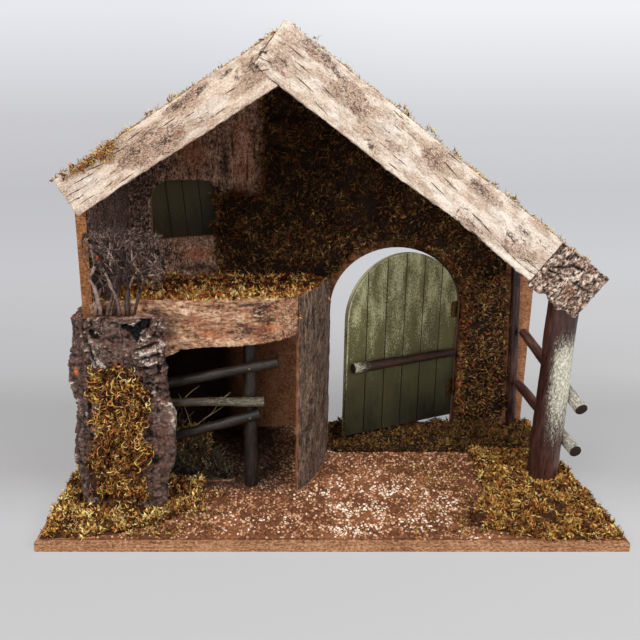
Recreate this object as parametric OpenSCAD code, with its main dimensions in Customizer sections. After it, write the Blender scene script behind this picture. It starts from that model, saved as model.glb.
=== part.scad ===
// Wooden nativity stable: a softboard shelter on a base board, clad in bark, moss and branches.
// The origin is the middle of the underside of the base board. The open front faces -Y.

/* [Base board] */
// Width of the base board
base_w = 500; // [470:1:560]
// Depth of the base board
base_d = 250; // [240:1:300]
// Thickness of the base board
base_t = 8; // [5:0.5:14]

/* [Walls] */
// Thickness of the back wall panel
wall_t = 8; // [5:0.5:12]
// Thickness of the left wall panel
side_t = 9; // [6:0.5:12]
// Distance from the left edge of the base to the outer face of the left wall
left_inset = 33.5; // [30:0.5:40]
// Distance from the right edge of the base to the end of the back wall
right_inset = 12; // [8:0.5:16]
// Distance from the rear edge of the base to the rear face of the back wall
back_inset = 6; // [4:0.5:10]
// Distance from the front edge of the base to the front edge of the left wall
side_front = 76; // [74:0.5:84]

/* [Roof] */
// Height of the ridge line, at the outer edge of the fascia boards
ridge_z = 422; // [400:1:460]
// Place of the ridge line from the middle, as a share of the width of the base
ridge_share = -0.072; // [-0.09:0.002:-0.054]
// Slope of the left roof
left_pitch = 31.8; // [30:0.1:33]
// Slope of the right roof
right_pitch = 36.6; // [35:0.1:38]
// Distance from the left edge of the base to the left eave
left_eave = 21; // [16:0.5:26]
// Distance from the right edge of the base to the right eave
right_eave = 14.3; // [12:0.1:17]
// Thickness of the roof panels
roof_t = 8; // [5:0.5:12]
// How far the fascia edges stand above the roof panels
roof_drop = 5; // [3:0.5:8]
// Distance from the front edge of the base to the front edge of the roof panels
roof_front = 70; // [69:0.5:72]
// Depth of the moss on the roof panels
roof_moss_t = 12; // [8:0.5:14]

/* [Fascia boards] */
// Width of the left birch bark board
fascia_left_w = 34; // [28:0.5:38]
// Width of the right birch bark board
fascia_right_w = 41; // [36:0.5:44]
// Width of the rough bark piece at the right end
fascia_end_w = 44; // [40:0.5:46]
// Length of the rough bark piece at the right end
fascia_end_l = 52; // [44:0.5:60]
// Thickness of the fascia boards
fascia_t = 4.5; // [3:0.5:5]
// How far the wavy edges of the boards swing
fascia_wave = 1.2; // [0:0.1:2]

/* [Loft] */
// Height of the underside of the loft floor, as a share of the height of the ridge
loft_share = 0.4076; // [0.392:0.0004:0.42]
// Thickness of the loft floor
loft_t = 8; // [6:0.5:10]
// Where the rounded corner begins, from the middle, as a share of the width of the base
loft_turn_share = -0.12; // [-0.14:0.002:-0.1]
// Half width of the rounded corner, as a share of the width of the base
loft_corner_share = 0.14; // [0.12:0.002:0.144]
// Distance from the front edge of the base to the front edge of the loft floor
loft_front = 70; // [70:0.5:73]
// Depth of the moss on the loft floor
loft_moss_t = 8; // [5:0.5:12]
// Thickness of the bark apron along the edge of the loft
apron_t = 3.6; // [2.5:0.1:3.6]
// Height of the upper edge of the apron above the loft floor
apron_rise = 21; // [16:0.5:26]
// How far the apron hangs below the loft floor at its right end
apron_hang = 5; // [3:0.5:9]
// How much lower the apron hangs where it meets the corner pier
apron_arch = 17; // [10:0.5:20]
// Thickness of the curved bark slab that carries the corner of the loft
loft_post_t = 6; // [4:0.5:9]

/* [Corner pier] */
// Thickness of the bark of the corner pier
pier_t = 12; // [9:0.5:13]
// Width of the pier front, from the outer face of the left wall
pier_w = 79.5; // [74.5:0.5:86]
// Outer radius of the pier at the corner
pier_r = 23; // [18:0.5:25]
// How far the pier stands above the underside of the loft floor
pier_rise = 17; // [12:0.5:22]
// How far the pier reaches back along the left wall, from the front edge of the base
pier_back = 125; // [110:1:140]
// Depth of the furrows in the bark
furrow = 1.5; // [0:0.1:2.5]
// Depth of the moss on the pier
pier_moss_t = 9; // [6:0.5:12]

/* [Door] */
// Width of the door opening
arch_w = 144; // [136:0.5:146]
// Place of the middle of the door opening, as a share of the width of the base
arch_share = 0.17; // [0.166:0.001:0.176]
// Height of the springing line of the arch
arch_spring = 152; // [145:1:160]
// Rise of the arch
arch_rise = 68; // [60:0.5:72]
// Thickness of the door
door_t = 6; // [4:0.5:7]
// Gap between the door and its opening
door_gap = 1.2; // [1:0.1:2]
// Height of the foot of the door
door_foot = 24; // [22:0.5:30]
// Number of planks
planks = 6; // [4:1:8]
// Angle at which the door stands ajar
door_ajar = 25; // [15:1:35]
// Diameter of the branch across the door at its thick end
bar_d = 10.5; // [8:0.5:11]
// Diameter of the branch across the door at its thin end
bar_d2 = 8.8; // [6:0.1:9]
// Height of the branch across the door
bar_z = 102; // [96:0.5:108]

/* [Window] */
// Width of the window opening
window_w = 71; // [64:0.5:74]
// Distance from the outer face of the left wall to the window opening
window_inset = 34.5; // [32.5:0.5:36.5]
// Height of the window opening, as a share of the wall between the loft and the roof
window_high_share = 0.47; // [0.41:0.01:0.48]
// Height of the wall below the window opening, as a share of the same wall
window_sill_share = 0.3525; // [0.34:0.0025:0.38]
// Thickness of the shutter
shutter_t = 4; // [3:0.5:5.5]
// Tilt of the shutter and of the sill
window_tilt = 5; // [0:0.5:6]

/* [Branches] */
// Diameter of the front post
front_post_d = 28.4; // [24:0.1:29]
// Distance from the right edge of the base to the foot of the front post
front_post_inset = 32.5; // [31:0.5:36]
// Distance from the front edge of the base to the front post
front_post_y = 113; // [108:0.5:118]
// Lean of the front post
front_lean = 1; // [0:0.1:1.5]
// Diameter of the back post
back_post_d = 11; // [9:0.1:12]
// Distance from the right edge of the base to the foot of the back post
back_post_inset = 25; // [24:0.5:28]
// Lean of the back post
back_lean = 3.3; // [2.5:0.1:3.6]
// Diameter of the side rails at their near ends
rail_d = 12; // [10:0.1:12]
// Diameter of the side rails at their far ends
rail_d2 = 10; // [8:0.1:10]
// Diameter of the stall post
stall_post_d = 13.2; // [11:0.1:14]
// Distance from the start of the rounded loft corner to the stall post, to its left
stall_post_inset = 11.5; // [10:0.5:16]
// Distance from the front edge of the base to the stall post
stall_post_y = 100; // [98:0.5:106]
// Diameter of the stall rails at their thick ends
stall_rail_d = 9.4; // [8:0.1:9.4]
// Diameter of the stall rails at their thin ends
stall_rail_d2 = 6.4; // [5:0.1:7]

/* [Ground] */
// Height of the moss along the front and the sides
moss_h = 8; // [5:0.5:10]
// Height of the moss before the back wall
back_moss_h = 12; // [8:0.5:13]
// Depth of the gravel
gravel_h = 3; // [2:0.5:4]
// Thickness of the moss on the back wall
wall_moss_t = 7; // [4:0.5:9]
// Thickness of the bark sheet on the back wall
wall_bark_t = 2.5; // [1.5:0.5:4]
// Thickness of the bark sheet inside the left wall
side_bark_t = 3; // [2:0.5:4]

/* [Hidden] */

round_fn = 48;
curve_fn = 32;
over = 2;          // overrun of cuts
seat = 0.3;        // gap between a piece and its seat
fit = 0.08;        // radial clearance of pins and nails in their bores
joint_gap = 0.5;   // gap between boards that butt

front = -base_d / 2;
rear = base_d / 2;
left = -base_w / 2;
right = base_w / 2;
ground = base_t;
wall_rear = rear - back_inset;
wall_face = wall_rear - wall_t;
side_out = left + left_inset;
side_in = side_out + side_t;
wall_end = right - right_inset;
ridge_x = base_w * ridge_share;
arch_x = base_w * arch_share;
loft_turn = base_w * loft_turn_share;
loft_rx = base_w * loft_corner_share;
loft_z = ridge_z * loft_share;
loft_top = loft_z + loft_t;
pier_right = side_out + pier_w;
pier_top = loft_z + pier_rise;
front_post_x = right - front_post_inset;
back_post_x = right - back_post_inset;
stall_post_x = loft_turn - stall_post_inset;
roof_y0 = front + roof_front;
roof_y1 = rear;
roof_under = roof_drop + roof_t;
left_run = (ridge_x - left - left_eave) / cos(left_pitch);
right_run = (right - right_eave - ridge_x) / cos(right_pitch);

// A point on a roof slope: run down the slope from the ridge, depth below its outer line
function on_left(run, depth) = [
  ridge_x - run * cos(left_pitch) + depth * sin(left_pitch),
  ridge_z - run * sin(left_pitch) - depth * cos(left_pitch)];
function on_right(run, depth) = [
  ridge_x + run * cos(right_pitch) - depth * sin(right_pitch),
  ridge_z - run * sin(right_pitch) - depth * cos(right_pitch)];
// The height of a line at a depth below the outer line of the roof, at place x
function roof_z(x, depth) = x < ridge_x
  ? ridge_z - depth / cos(left_pitch) - (ridge_x - x) * tan(left_pitch)
  : ridge_z - depth / cos(right_pitch) - (x - ridge_x) * tan(right_pitch);
function arc(c, rx, ry, a0, a1, n) = [for (i = [0 : n])
  let (a = a0 + (a1 - a0) * i / n) [c[0] + rx * cos(a), c[1] + ry * sin(a)]];
function wave(t, turns, size) = size * (sin(t * turns * 360) + sin(t * turns * 827 + 40) / 2);

// Stands a profile drawn in X and Z up between two depths
module upright(y0, y1) {
  translate([0, y1, 0]) rotate([90, 0, 0]) linear_extrude(y1 - y0) children();
}
// A tapered branch between two points
module branch(a, b, d0, d1, sides = round_fn) {
  v = b - a;
  len = norm(v);
  translate(a) rotate([0, acos(v[2] / len), atan2(v[1], v[0])])
    cylinder(h = len, d1 = d0, d2 = d1, $fn = sides);
}
// Everything below the undersides of both roof panels
module under_roof(gap) {
  upright(front - over, rear + over) polygon([
    [left, 0], [left, roof_z(left, roof_under + gap)],
    [ridge_x, roof_z(ridge_x, roof_under + gap)],
    [right, roof_z(right, roof_under + gap)], [right, 0]]);
}

/* Door opening, door and hinges */
hinge_pin_d = 1.4;
knuckle_d = 3.6;
pin_head_d = 2.6;
hinge_h = 18;
leaf_w = 9;
leaf_t = 0.8;
hinge_lift = 26;        // from the foot of the door to its lower hinge
hinge_span = 92;        // between the two hinges
door_w = arch_w - 2 * door_gap;
axis_x = arch_x + arch_w / 2 - door_gap / 2;
axis_y = wall_face - knuckle_d / 2 - seat;
groove_w = 1.1;
groove_d = 1.0;
bar_inset = 5;          // from the free edge of the door to the thick end of the branch
bar_stop = 4;           // from the hinge edge to the thin end
nail_d = 1.6;
nail_head_d = 3.2;
nail_head_t = 0.8;
nail_depth_share = 0.75;

module arch_shape(gap, foot) {
  half = arch_w / 2 - gap;
  translate([arch_x, 0]) polygon(concat(
    [[-half, foot], [half, foot]],
    arc([0, arch_spring], half, arch_rise - gap, 0, 180, curve_fn)));
}
// Moves a piece drawn in the closed doorway to where the ajar door holds it
module ajar() {
  translate([axis_x, axis_y, 0]) rotate([0, 0, door_ajar]) translate([-axis_x, -axis_y, 0])
    children();
}
function hinge_z(i) = door_foot + hinge_lift + i * hinge_span;
door_left = arch_x - door_w / 2;
door_right = arch_x + door_w / 2;
bar_y = wall_face - bar_d / 2;
bar_a = [door_left + bar_inset, bar_y, bar_z];
bar_b = [door_right - bar_stop, wall_face - bar_d2 / 2, bar_z];
bar_nail_x = [door_left + door_w / planks / 2, door_right - door_w / planks / 2];

module door() {
  color("darkolivegreen") ajar() difference() {
    upright(wall_face, wall_face + door_t) arch_shape(door_gap, door_foot);
    for (i = [1 : planks - 1])
      translate([door_left + i * door_w / planks - groove_w / 2, wall_face - over, ground])
        cube([groove_w, over + groove_d, ridge_z]);
    for (x = bar_nail_x)
      translate([x, wall_face, bar_z]) rotate([-90, 0, 0])
        translate([0, 0, -over]) cylinder(h = door_t + 2 * over, d = nail_d + 2 * fit, $fn = round_fn);
  }
}
module door_bar() {
  color("saddlebrown") ajar() difference() {
    branch(bar_a, bar_b, bar_d, bar_d2);
    translate([door_left, wall_face - seat / 2, bar_z - bar_d])
      cube([door_w, bar_d, 2 * bar_d]);
    for (x = bar_nail_x) bar_nail(x, fit);
  }
}
module bar_nail(x, gap) {
  depth = bar_d2 * nail_depth_share;
  translate([x, wall_face + door_t, bar_z]) rotate([90, 0, 0])
    cylinder(h = door_t + depth + gap, d = nail_d + 2 * gap, $fn = round_fn);
}
module door_bar_nails() {
  color("dimgray") ajar() for (x = bar_nail_x) union() {
    bar_nail(x, 0);
    translate([x, wall_face + door_t + nail_head_t, bar_z]) rotate([90, 0, 0])
      cylinder(h = nail_head_t, d = nail_head_d, $fn = round_fn);
  }
}
// One leaf of a hinge with its share of the knuckle, drawn closed; side is -1 on the door, 1 on the wall
module hinge_leaf(side, parts) {
  third = hinge_h / 3;
  difference() {
    union() {
      for (k = parts)
        translate([axis_x, axis_y, k * third + seat / 2])
          cylinder(h = third - seat, d = knuckle_d, $fn = round_fn);
      for (k = parts)
        translate([side < 0 ? axis_x - leaf_w : axis_x, wall_face - leaf_t - seat / 2, k * third + seat / 2])
          cube([leaf_w, leaf_t, third - seat]);
      translate([side < 0 ? axis_x - leaf_w : axis_x + knuckle_d / 2 + seat, wall_face - leaf_t - seat / 2, 0])
        cube([leaf_w - knuckle_d / 2 - seat, leaf_t, hinge_h]);
    }
    translate([axis_x, axis_y, -over])
      cylinder(h = hinge_h + 2 * over, d = hinge_pin_d + 2 * fit, $fn = round_fn);
  }
}
module door_hinge_leaves() {
  color("goldenrod") ajar() for (i = [0, 1]) translate([0, 0, hinge_z(i)]) hinge_leaf(-1, [1]);
}
module wall_hinge_leaves() {
  color("goldenrod") for (i = [0, 1]) translate([0, 0, hinge_z(i)]) hinge_leaf(1, [0, 2]);
}
module hinge_pins() {
  color("darkgoldenrod") for (i = [0, 1]) translate([axis_x, axis_y, hinge_z(i)]) union() {
    translate([0, 0, -leaf_t]) cylinder(h = hinge_h + 2 * leaf_t, d = hinge_pin_d, $fn = round_fn);
    translate([0, 0, hinge_h]) cylinder(h = leaf_t, d = pin_head_d, $fn = round_fn);
  }
}

/* Window */
shutter_lap = 8;        // how far the shutter laps the opening behind the wall
window_r_left = 22;
window_r_right = 14;
window_grooves = 3;
window_x = side_out + window_inset;
upper_wall = roof_z(window_x, roof_under) - loft_top;
window_z = loft_top + upper_wall * window_sill_share;
window_h = upper_wall * window_high_share;
sill_rise = window_w * tan(window_tilt);
module window_shape(gap) {
  x0 = window_x - gap;
  x1 = window_x + window_w + gap;
  z0 = window_z - gap;
  top = window_z + window_h + gap;
  polygon(concat(
    [[x0, z0], [x1, z0 + sill_rise]],
    arc([x1 - window_r_right, top - window_r_right], window_r_right, window_r_right, 0, 90, curve_fn / 4),
    arc([x0 + window_r_left, top - window_r_left], window_r_left, window_r_left, 90, 180, curve_fn / 4)));
}
module window_shutter() {
  pitch = window_w / (window_grooves + 1);
  color("darkolivegreen") difference() {
    upright(wall_rear, wall_rear + shutter_t) window_shape(shutter_lap);
    for (i = [1 : window_grooves])
      translate([window_x + i * pitch, 0, window_z + window_h / 2]) rotate([0, -window_tilt, 0])
        translate([-groove_w / 2, wall_rear - over, -window_h / 2])
          cube([groove_w, over + groove_d, window_h]);
  }
}

/* Panels */
screw_d = 2.6;
screw_head_d = 6;
screw_l = 26;
loft_screw_l = 24;
module screw(len, gap) {
  cylinder(h = len + gap, d = screw_d + 2 * gap, $fn = round_fn);
  cylinder(h = screw_head_d / 3 + gap, d1 = screw_head_d + 2 * gap, d2 = screw_d + 2 * gap, $fn = round_fn);
}
wall_screw_x_shares = [0.12, 0.42, 0.94];
side_screw_y_shares = [0.2, 0.75];
base_screw_at = concat(
  [for (s = wall_screw_x_shares) [side_out + s * (wall_end - side_out), wall_face + wall_t / 2]],
  [for (s = side_screw_y_shares)
    [side_out + side_t / 2, front + side_front + s * (wall_face - front - side_front)]],
  [[front_post_x, front + front_post_y], [stall_post_x, front + stall_post_y]]);
module base_screw_holes(gap) {
  for (p = base_screw_at) translate([p[0], p[1], 0]) screw(screw_l, gap);
}
loft_screw_x_shares = [0.2, 0.55, 0.85];
loft_screw_at = [for (s = loft_screw_x_shares) side_in + s * (loft_turn + loft_rx / 2 - side_in)];
module loft_screw_holes(gap) {
  for (x = loft_screw_at) translate([x, wall_rear, loft_z + loft_t / 2]) rotate([90, 0, 0])
    screw(loft_screw_l, gap);
}
module base_screws() { color("silver") base_screw_holes(0); }
module loft_screws() { color("silver") loft_screw_holes(0); }

module base_board() {
  color("tan") difference() {
    translate([left, front, 0]) cube([base_w, base_d, base_t]);
    base_screw_holes(fit);
  }
}
module back_wall() {
  color("peru") difference() {
    upright(wall_face, wall_rear) difference() {
      polygon([[side_out, ground], [side_out, roof_z(side_out, roof_under)],
        [ridge_x, roof_z(ridge_x, roof_under)], [wall_end, roof_z(wall_end, roof_under)],
        [wall_end, ground]]);
      arch_shape(0, ground - over);
      window_shape(0);
    }
    base_screw_holes(fit);
    loft_screw_holes(fit);
  }
}
module left_wall() {
  color("peru") difference() {
    upright(front + side_front, wall_face) polygon([
      [side_out, ground], [side_out, roof_z(side_out, roof_under)],
      [side_in, roof_z(side_in, roof_under)], [side_in, ground]]);
    base_screw_holes(fit);
  }
}
module roof_left() {
  color("peru") upright(roof_y0, roof_y1) polygon([
    [ridge_x, ridge_z - roof_drop / cos(left_pitch)],
    [ridge_x, ridge_z - roof_under / cos(left_pitch)],
    on_left(left_run, roof_under), on_left(left_run, roof_drop)]);
}
module roof_right() {
  color("peru") upright(roof_y0, roof_y1) polygon([
    [ridge_x, roof_z(ridge_x, roof_drop)], [ridge_x, roof_z(ridge_x, roof_under)],
    on_right(right_run, roof_under), on_right(right_run, roof_drop)]);
}

/* Bark and moss on the walls */
module side_bark() {
  foot = loft_top + loft_moss_t;
  color("dimgray") upright(front + side_front, wall_face - wall_bark_t - seat) polygon([
    [side_in, foot], [side_in, roof_z(side_in, roof_under)],
    [side_in + side_bark_t, roof_z(side_in + side_bark_t, roof_under)],
    [side_in + side_bark_t, foot]]);
}
window_side = 1;        // bark between the window opening and the moss
step_share = 0.75;      // how far up the window the moss reaches beside it
moss_seam = loft_turn;
moss_step_x = window_x + window_w + window_side;
moss_step_z = window_z + window_h * step_share;
arch_bare = 9;          // bare margin round the arch
post_bare = 3;          // margin between the wall moss and the back post
wall_moss_foot = ground + back_moss_h + seat;
module wall_bark() {
  color("rosybrown") difference() {
    upright(wall_face - wall_bark_t, wall_face) difference() {
      polygon([[side_in, loft_top + loft_moss_t], [side_in, roof_z(side_in, roof_under)],
        [moss_seam, roof_z(moss_seam, roof_under)], [moss_seam, moss_step_z],
        [moss_step_x, moss_step_z], [moss_step_x, loft_top + loft_moss_t]]);
      window_shape(0);
    }
  }
}
module wall_moss() {
  edge = back_post_d / 2 + post_bare;
  lean = tan(back_lean);
  edge_low = back_post_x - edge - (wall_moss_foot - ground) * lean;
  edge_top_z = roof_z(back_post_x - back_post_d, roof_under);
  edge_top = back_post_x - edge - (edge_top_z - ground) * lean;
  color("olive") upright(wall_face - wall_moss_t, wall_face) difference() {
    polygon([[moss_step_x, loft_top + loft_moss_t], [moss_step_x, moss_step_z],
      [moss_seam, moss_step_z], [moss_seam, roof_z(moss_seam, roof_under)],
      [ridge_x, roof_z(ridge_x, roof_under)], [edge_top, roof_z(edge_top, roof_under)],
      [edge_low, wall_moss_foot], [arch_x, wall_moss_foot],
      [arch_x, loft_top + loft_moss_t]]);
    arch_shape(-arch_bare, ground - over);
  }
}

/* Roof moss and fascia boards */
moss_stop = 6;          // distance from the eave to the end of the roof moss
fascia_y0 = roof_y0 - fascia_t;
fascia_end_wave = 1.8;
fascia_lap = 4.5;       // how far the right board reaches past the ridge
edge_steps = 40;
module roof_moss_left() {
  rise = roof_moss_t - roof_drop;
  color("olivedrab") upright(roof_y0, roof_y1) polygon([
    [ridge_x, ridge_z - roof_drop / cos(left_pitch)], on_left(left_run - moss_stop, roof_drop),
    on_left(left_run - 2 * moss_stop, -rise), [ridge_x, ridge_z + rise / cos(left_pitch)]]);
}
module roof_moss_right() {
  rise = roof_moss_t - roof_drop;
  color("olivedrab") upright(roof_y0, roof_y1) polygon([
    [ridge_x, ridge_z - roof_drop / cos(right_pitch)], on_right(right_run - moss_stop, roof_drop),
    on_right(right_run - 2 * moss_stop, -rise), [ridge_x, ridge_z + rise / cos(left_pitch)]]);
}
module right_board_shape(run0, run1, width, swing, turns) {
  polygon(concat(
    [for (i = [0 : edge_steps]) let (t = i / edge_steps)
      on_right(run0 + (run1 - run0) * t, wave(t, turns * 2, swing / 4))],
    [for (i = [edge_steps : -1 : 0]) let (t = i / edge_steps)
      on_right(run0 + (run1 - run0) * t, width + wave(t, turns, swing))]));
}
module fascia_right() {
  color("antiquewhite") upright(fascia_y0, roof_y0)
    right_board_shape(-fascia_lap, right_run - fascia_end_l - joint_gap, fascia_right_w, fascia_wave, 1);
}
module fascia_end() {
  color("gray") upright(fascia_y0 - fascia_wave, roof_y0)
    right_board_shape(right_run - fascia_end_l, right_run, fascia_end_w, fascia_end_wave, 2);
}
module fascia_left() {
  color("antiquewhite") upright(fascia_y0, roof_y0) difference() {
    polygon(concat(
      [for (i = [0 : edge_steps]) let (t = i / edge_steps)
        on_left(left_run * t, wave(t, 2, fascia_wave / 4))],
      [for (i = [edge_steps : -1 : 0]) let (t = i / edge_steps)
        on_left(left_run * t, fascia_left_w + wave(t, 1, fascia_wave / 2))]));
    right_board_shape(-fascia_lap - joint_gap, right_run - fascia_end_l, fascia_right_w + joint_gap,
      fascia_wave, 1);
    polygon([on_right(-fascia_lap - joint_gap, -fascia_right_w), on_right(-fascia_lap - joint_gap, joint_gap),
      on_right(fascia_right_w, joint_gap), on_right(fascia_right_w, -fascia_right_w)]);
    translate([ridge_x, ground]) square([base_w, loft_z]);
  }
}

/* Loft */
loft_y0 = front + loft_front;
loft_ry = wall_face - loft_y0;
post_from_angle = 27;   // angles of the two edges of the curved bark slab
post_to_angle = 70;
post_gap_angle = 1;     // gap in the moss beside them
apron_gap_angle = 0.2;  // gap between the apron and the slab
apron_low_shares = [[0, 1], [0.29, 1], [0.35, 0.62], [0.42, 0.48], [0.56, 0.42], [0.67, 0.3],
  [0.79, 0.12], [1, 0]];
apron_top_shares = [[0, -0.12], [0.2, 0.05], [0.4, -0.03], [0.62, 0.06], [0.8, 0.03], [0.95, 0],
  [0.98, -0.25], [1, -0.3]];
apron_x1 = loft_turn + loft_rx + apron_t;
apron_top = loft_top + apron_rise;
apron_top_points = [for (s = apron_top_shares)
  [side_in + s[0] * (apron_x1 - side_in), apron_top + s[1] * apron_rise]];
// The outline of the loft floor, grown outward at its free edges
function loft_edge(grow) = concat(
  [[side_in, wall_face], [side_in, loft_y0 - grow]],
  arc([loft_turn, wall_face], loft_rx + grow, loft_ry + grow, -90, 0, curve_fn));
module loft_floor() {
  color("burlywood") difference() {
    translate([0, 0, loft_z]) linear_extrude(loft_t) polygon(loft_edge(0));
    loft_screw_holes(fit);
  }
}
module loft_moss() {
  color("olivedrab") translate([0, 0, loft_top]) linear_extrude(loft_moss_t) polygon(loft_edge(0));
}
module loft_apron() {
  low = loft_z - apron_hang;
  color("rosybrown") intersection() {
    translate([0, 0, low - apron_arch]) linear_extrude(ridge_z - low) difference() {
      polygon(loft_edge(apron_t));
      polygon(loft_edge(0));
      polygon(concat([[loft_turn, wall_face]],
        [for (a = [post_from_angle - apron_gap_angle, post_to_angle, 90])
          [loft_turn + 2 * loft_rx * sin(a), wall_face - 2 * loft_ry * cos(a)]]));
    }
    upright(front, wall_face) polygon(concat(
      [for (s = apron_low_shares) [side_in + s[0] * (apron_x1 - side_in), low - s[1] * apron_arch]],
      [for (i = [len(apron_top_points) - 1 : -1 : 0]) apron_top_points[i]]));
  }
}
module loft_post() {
  steps = 36;
  slab_in = apron_t - loft_post_t;
  function turn_angle(t) = post_from_angle + (post_to_angle - post_from_angle) * t;
  function on_corner(a, grow) =
    [loft_turn + (loft_rx + grow) * sin(a), wall_face - (loft_ry + grow) * cos(a)];
  color("gray") difference() {
    intersection() {
      translate([0, 0, ground]) linear_extrude(ridge_z - ground) polygon(concat(
        [for (i = [0 : steps]) on_corner(turn_angle(i / steps),
          apron_t - abs(wave(i / steps, 5, furrow / 2)))],
        [for (i = [steps : -1 : 0]) on_corner(turn_angle(i / steps), slab_in)]));
      upright(front, wall_face) polygon(concat(
        [[apron_x1, ground], [side_in, ground]], apron_top_points));
    }
    translate([0, 0, loft_z]) linear_extrude(ridge_z) polygon(loft_edge(0));
  }
}

/* Corner pier: a thick slab of bark bent round the front edge of the left wall */
pier_in_y = loft_y0 - apron_t - seat;
pier_in_x = side_out - seat;
pier_out_y = pier_in_y - pier_t;
pier_out_x = pier_in_x - pier_t;
pier_y1 = front + pier_back;
pier_steps = 72;
knot_d = 16;
knot_deep = 5;
knot_small_d = 10;
// A point on the outer face of the pier, t from 0 at its right end to 1 at its rear end, and grown outward
pier_flat = pier_right - (pier_out_x + pier_r);
pier_bend = pier_r * PI / 2;
pier_side = pier_y1 - (pier_out_y + pier_r);
pier_len = pier_flat + pier_bend + pier_side;
function pier_point(t, grow) = let (d = t * pier_len)
  d < pier_flat ? [pier_right - d, pier_out_y - grow]
  : d < pier_flat + pier_bend
  ? let (a = (d - pier_flat) / pier_bend * 90)
    [pier_out_x + pier_r - (pier_r + grow) * sin(a), pier_out_y + pier_r - (pier_r + grow) * cos(a)]
  : [pier_out_x - grow, pier_out_y + pier_r + (d - pier_flat - pier_bend)];
function pier_skin(grow) = [for (i = [0 : pier_steps]) let (t = i / pier_steps)
  pier_point(t, grow - abs(wave(t, 9, furrow)))];
pier_side_shares = [[0.88, 0], [0.9, 0.11], [0.99, 0.28], [1, 0.47], [0.97, 0.62], [0.95, 0.8], [0.93, 1]];
pier_top_shares = [[0.3, 0], [0.2, 0.1], [0.12, 0.3]];
pier_dip = 8;           // how far the top of the pier falls away to the left
module pier_front() {
  high = pier_top - ground;
  wide = pier_right - pier_out_x;
  polygon(concat(
    [[pier_out_x - pier_r, ground]],
    [for (s = pier_side_shares) [pier_out_x + s[0] * wide, ground + s[1] * high]],
    [for (s = pier_top_shares) [pier_out_x + s[0] * wide, pier_top - s[1] * pier_dip]],
    [[pier_out_x - pier_r, pier_top - pier_dip]]));
}
module corner_pier() {
  color("dimgray") difference() {
    intersection() {
      translate([0, 0, ground]) linear_extrude(pier_top - ground) polygon(concat(pier_skin(0),
        [[pier_in_x, pier_y1], [pier_in_x, pier_in_y], [pier_right, pier_in_y]]));
      upright(front, rear) pier_front();
    }
    translate([pier_right - pier_flat / 2 + knot_d / 4, pier_out_y + knot_deep, pier_top - knot_d])
      rotate([90, 0, 0]) cylinder(h = knot_deep + pier_moss_t, d = knot_d, $fn = round_fn);
    translate([pier_right - pier_flat + knot_small_d / 4, pier_out_y + knot_deep, pier_top - knot_d])
      rotate([90, 0, 0]) cylinder(h = knot_deep + pier_moss_t, d = knot_small_d, $fn = round_fn);
  }
}
clump_shares = [[0.15, 0.06], [0.13, 0.24], [0.26, 0.43], [0.21, 0.49], [0.28, 0.57], [0.19, 0.69],
  [0.23, 0.755], [0.51, 0.76], [0.63, 0.745], [0.69, 0.67], [0.78, 0.63], [0.78, 0.52], [0.69, 0.47],
  [0.65, 0.4], [0.76, 0.34], [0.7, 0.27], [0.69, 0.16], [0.7, 0.06]];
module pier_moss() {
  wide = pier_right - pier_out_x;
  high = pier_top - ground;
  color("olive") intersection() {
    translate([0, 0, ground + moss_h + seat]) linear_extrude(pier_top - ground) polygon(concat(
      [for (i = [0 : pier_steps]) pier_point(i / pier_steps, pier_moss_t)],
      [for (i = [pier_steps : -1 : 0]) pier_point(i / pier_steps, seat)]));
    upright(front, front + side_front) polygon([for (s = clump_shares)
      [pier_out_x + s[0] * wide, ground + s[1] * high]]);
  }
}

/* Brushwood: branching twigs that stand on the top of the corner pier */
stem_d = 3.2;
stem_l = 22;
twig_levels = 3;
taper_share = 0.77;     // thickness of a twig's end beside its start
fork_share = 0.97;      // where along a twig it forks
long_share = 0.9;       // length of the longer and of the shorter of two forked twigs
short_share = 0.78;
thin_share = 0.68;      // thickness of the shorter one
stem_shares = [[0.14, 0.3, -8], [0.32, 0.32, 2], [0.516, 0.3, 10], [0.225, 0.62, -3], [0.42, 0.6, 22]];
stem_zone_w = 62;
stem_zone_d = 70;
function stem_at(s) = [side_in + s[0] * stem_zone_w + stem_d, pier_in_y - s[1] * pier_t];
module twig(len, d, level, seed) {
  r = rands(-1, 1, 5, seed);
  cylinder(h = len, d1 = d, d2 = d * taper_share, $fn = 5);
  if (level > 0) translate([0, 0, len * fork_share]) {
    rotate([r[0] * 14, 12 + r[1] * 12, r[2] * 180])
      twig(len * long_share, d * taper_share, level - 1, seed * 2 + 1);
    rotate([r[3] * 10, -26 + r[4] * 12, r[2] * 180])
      twig(len * short_share, d * thin_share, level - 1, seed * 2 + 2);
  }
}
module brushwood() {
  color("slategray") intersection() {
    union() for (i = [0 : len(stem_shares) - 1]) let (s = stem_shares[i])
      translate(concat(stem_at(s), [pier_top])) rotate([0, s[2] / 2, 0])
        twig(stem_l, stem_d, twig_levels, 7 + 11 * i);
    translate([side_in + side_bark_t + seat, pier_out_y - pier_moss_t, pier_top])
      cube([stem_zone_w * 2, stem_zone_d * 2, ridge_z - pier_top]);
    under_roof(roof_drop);
  }
}

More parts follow.
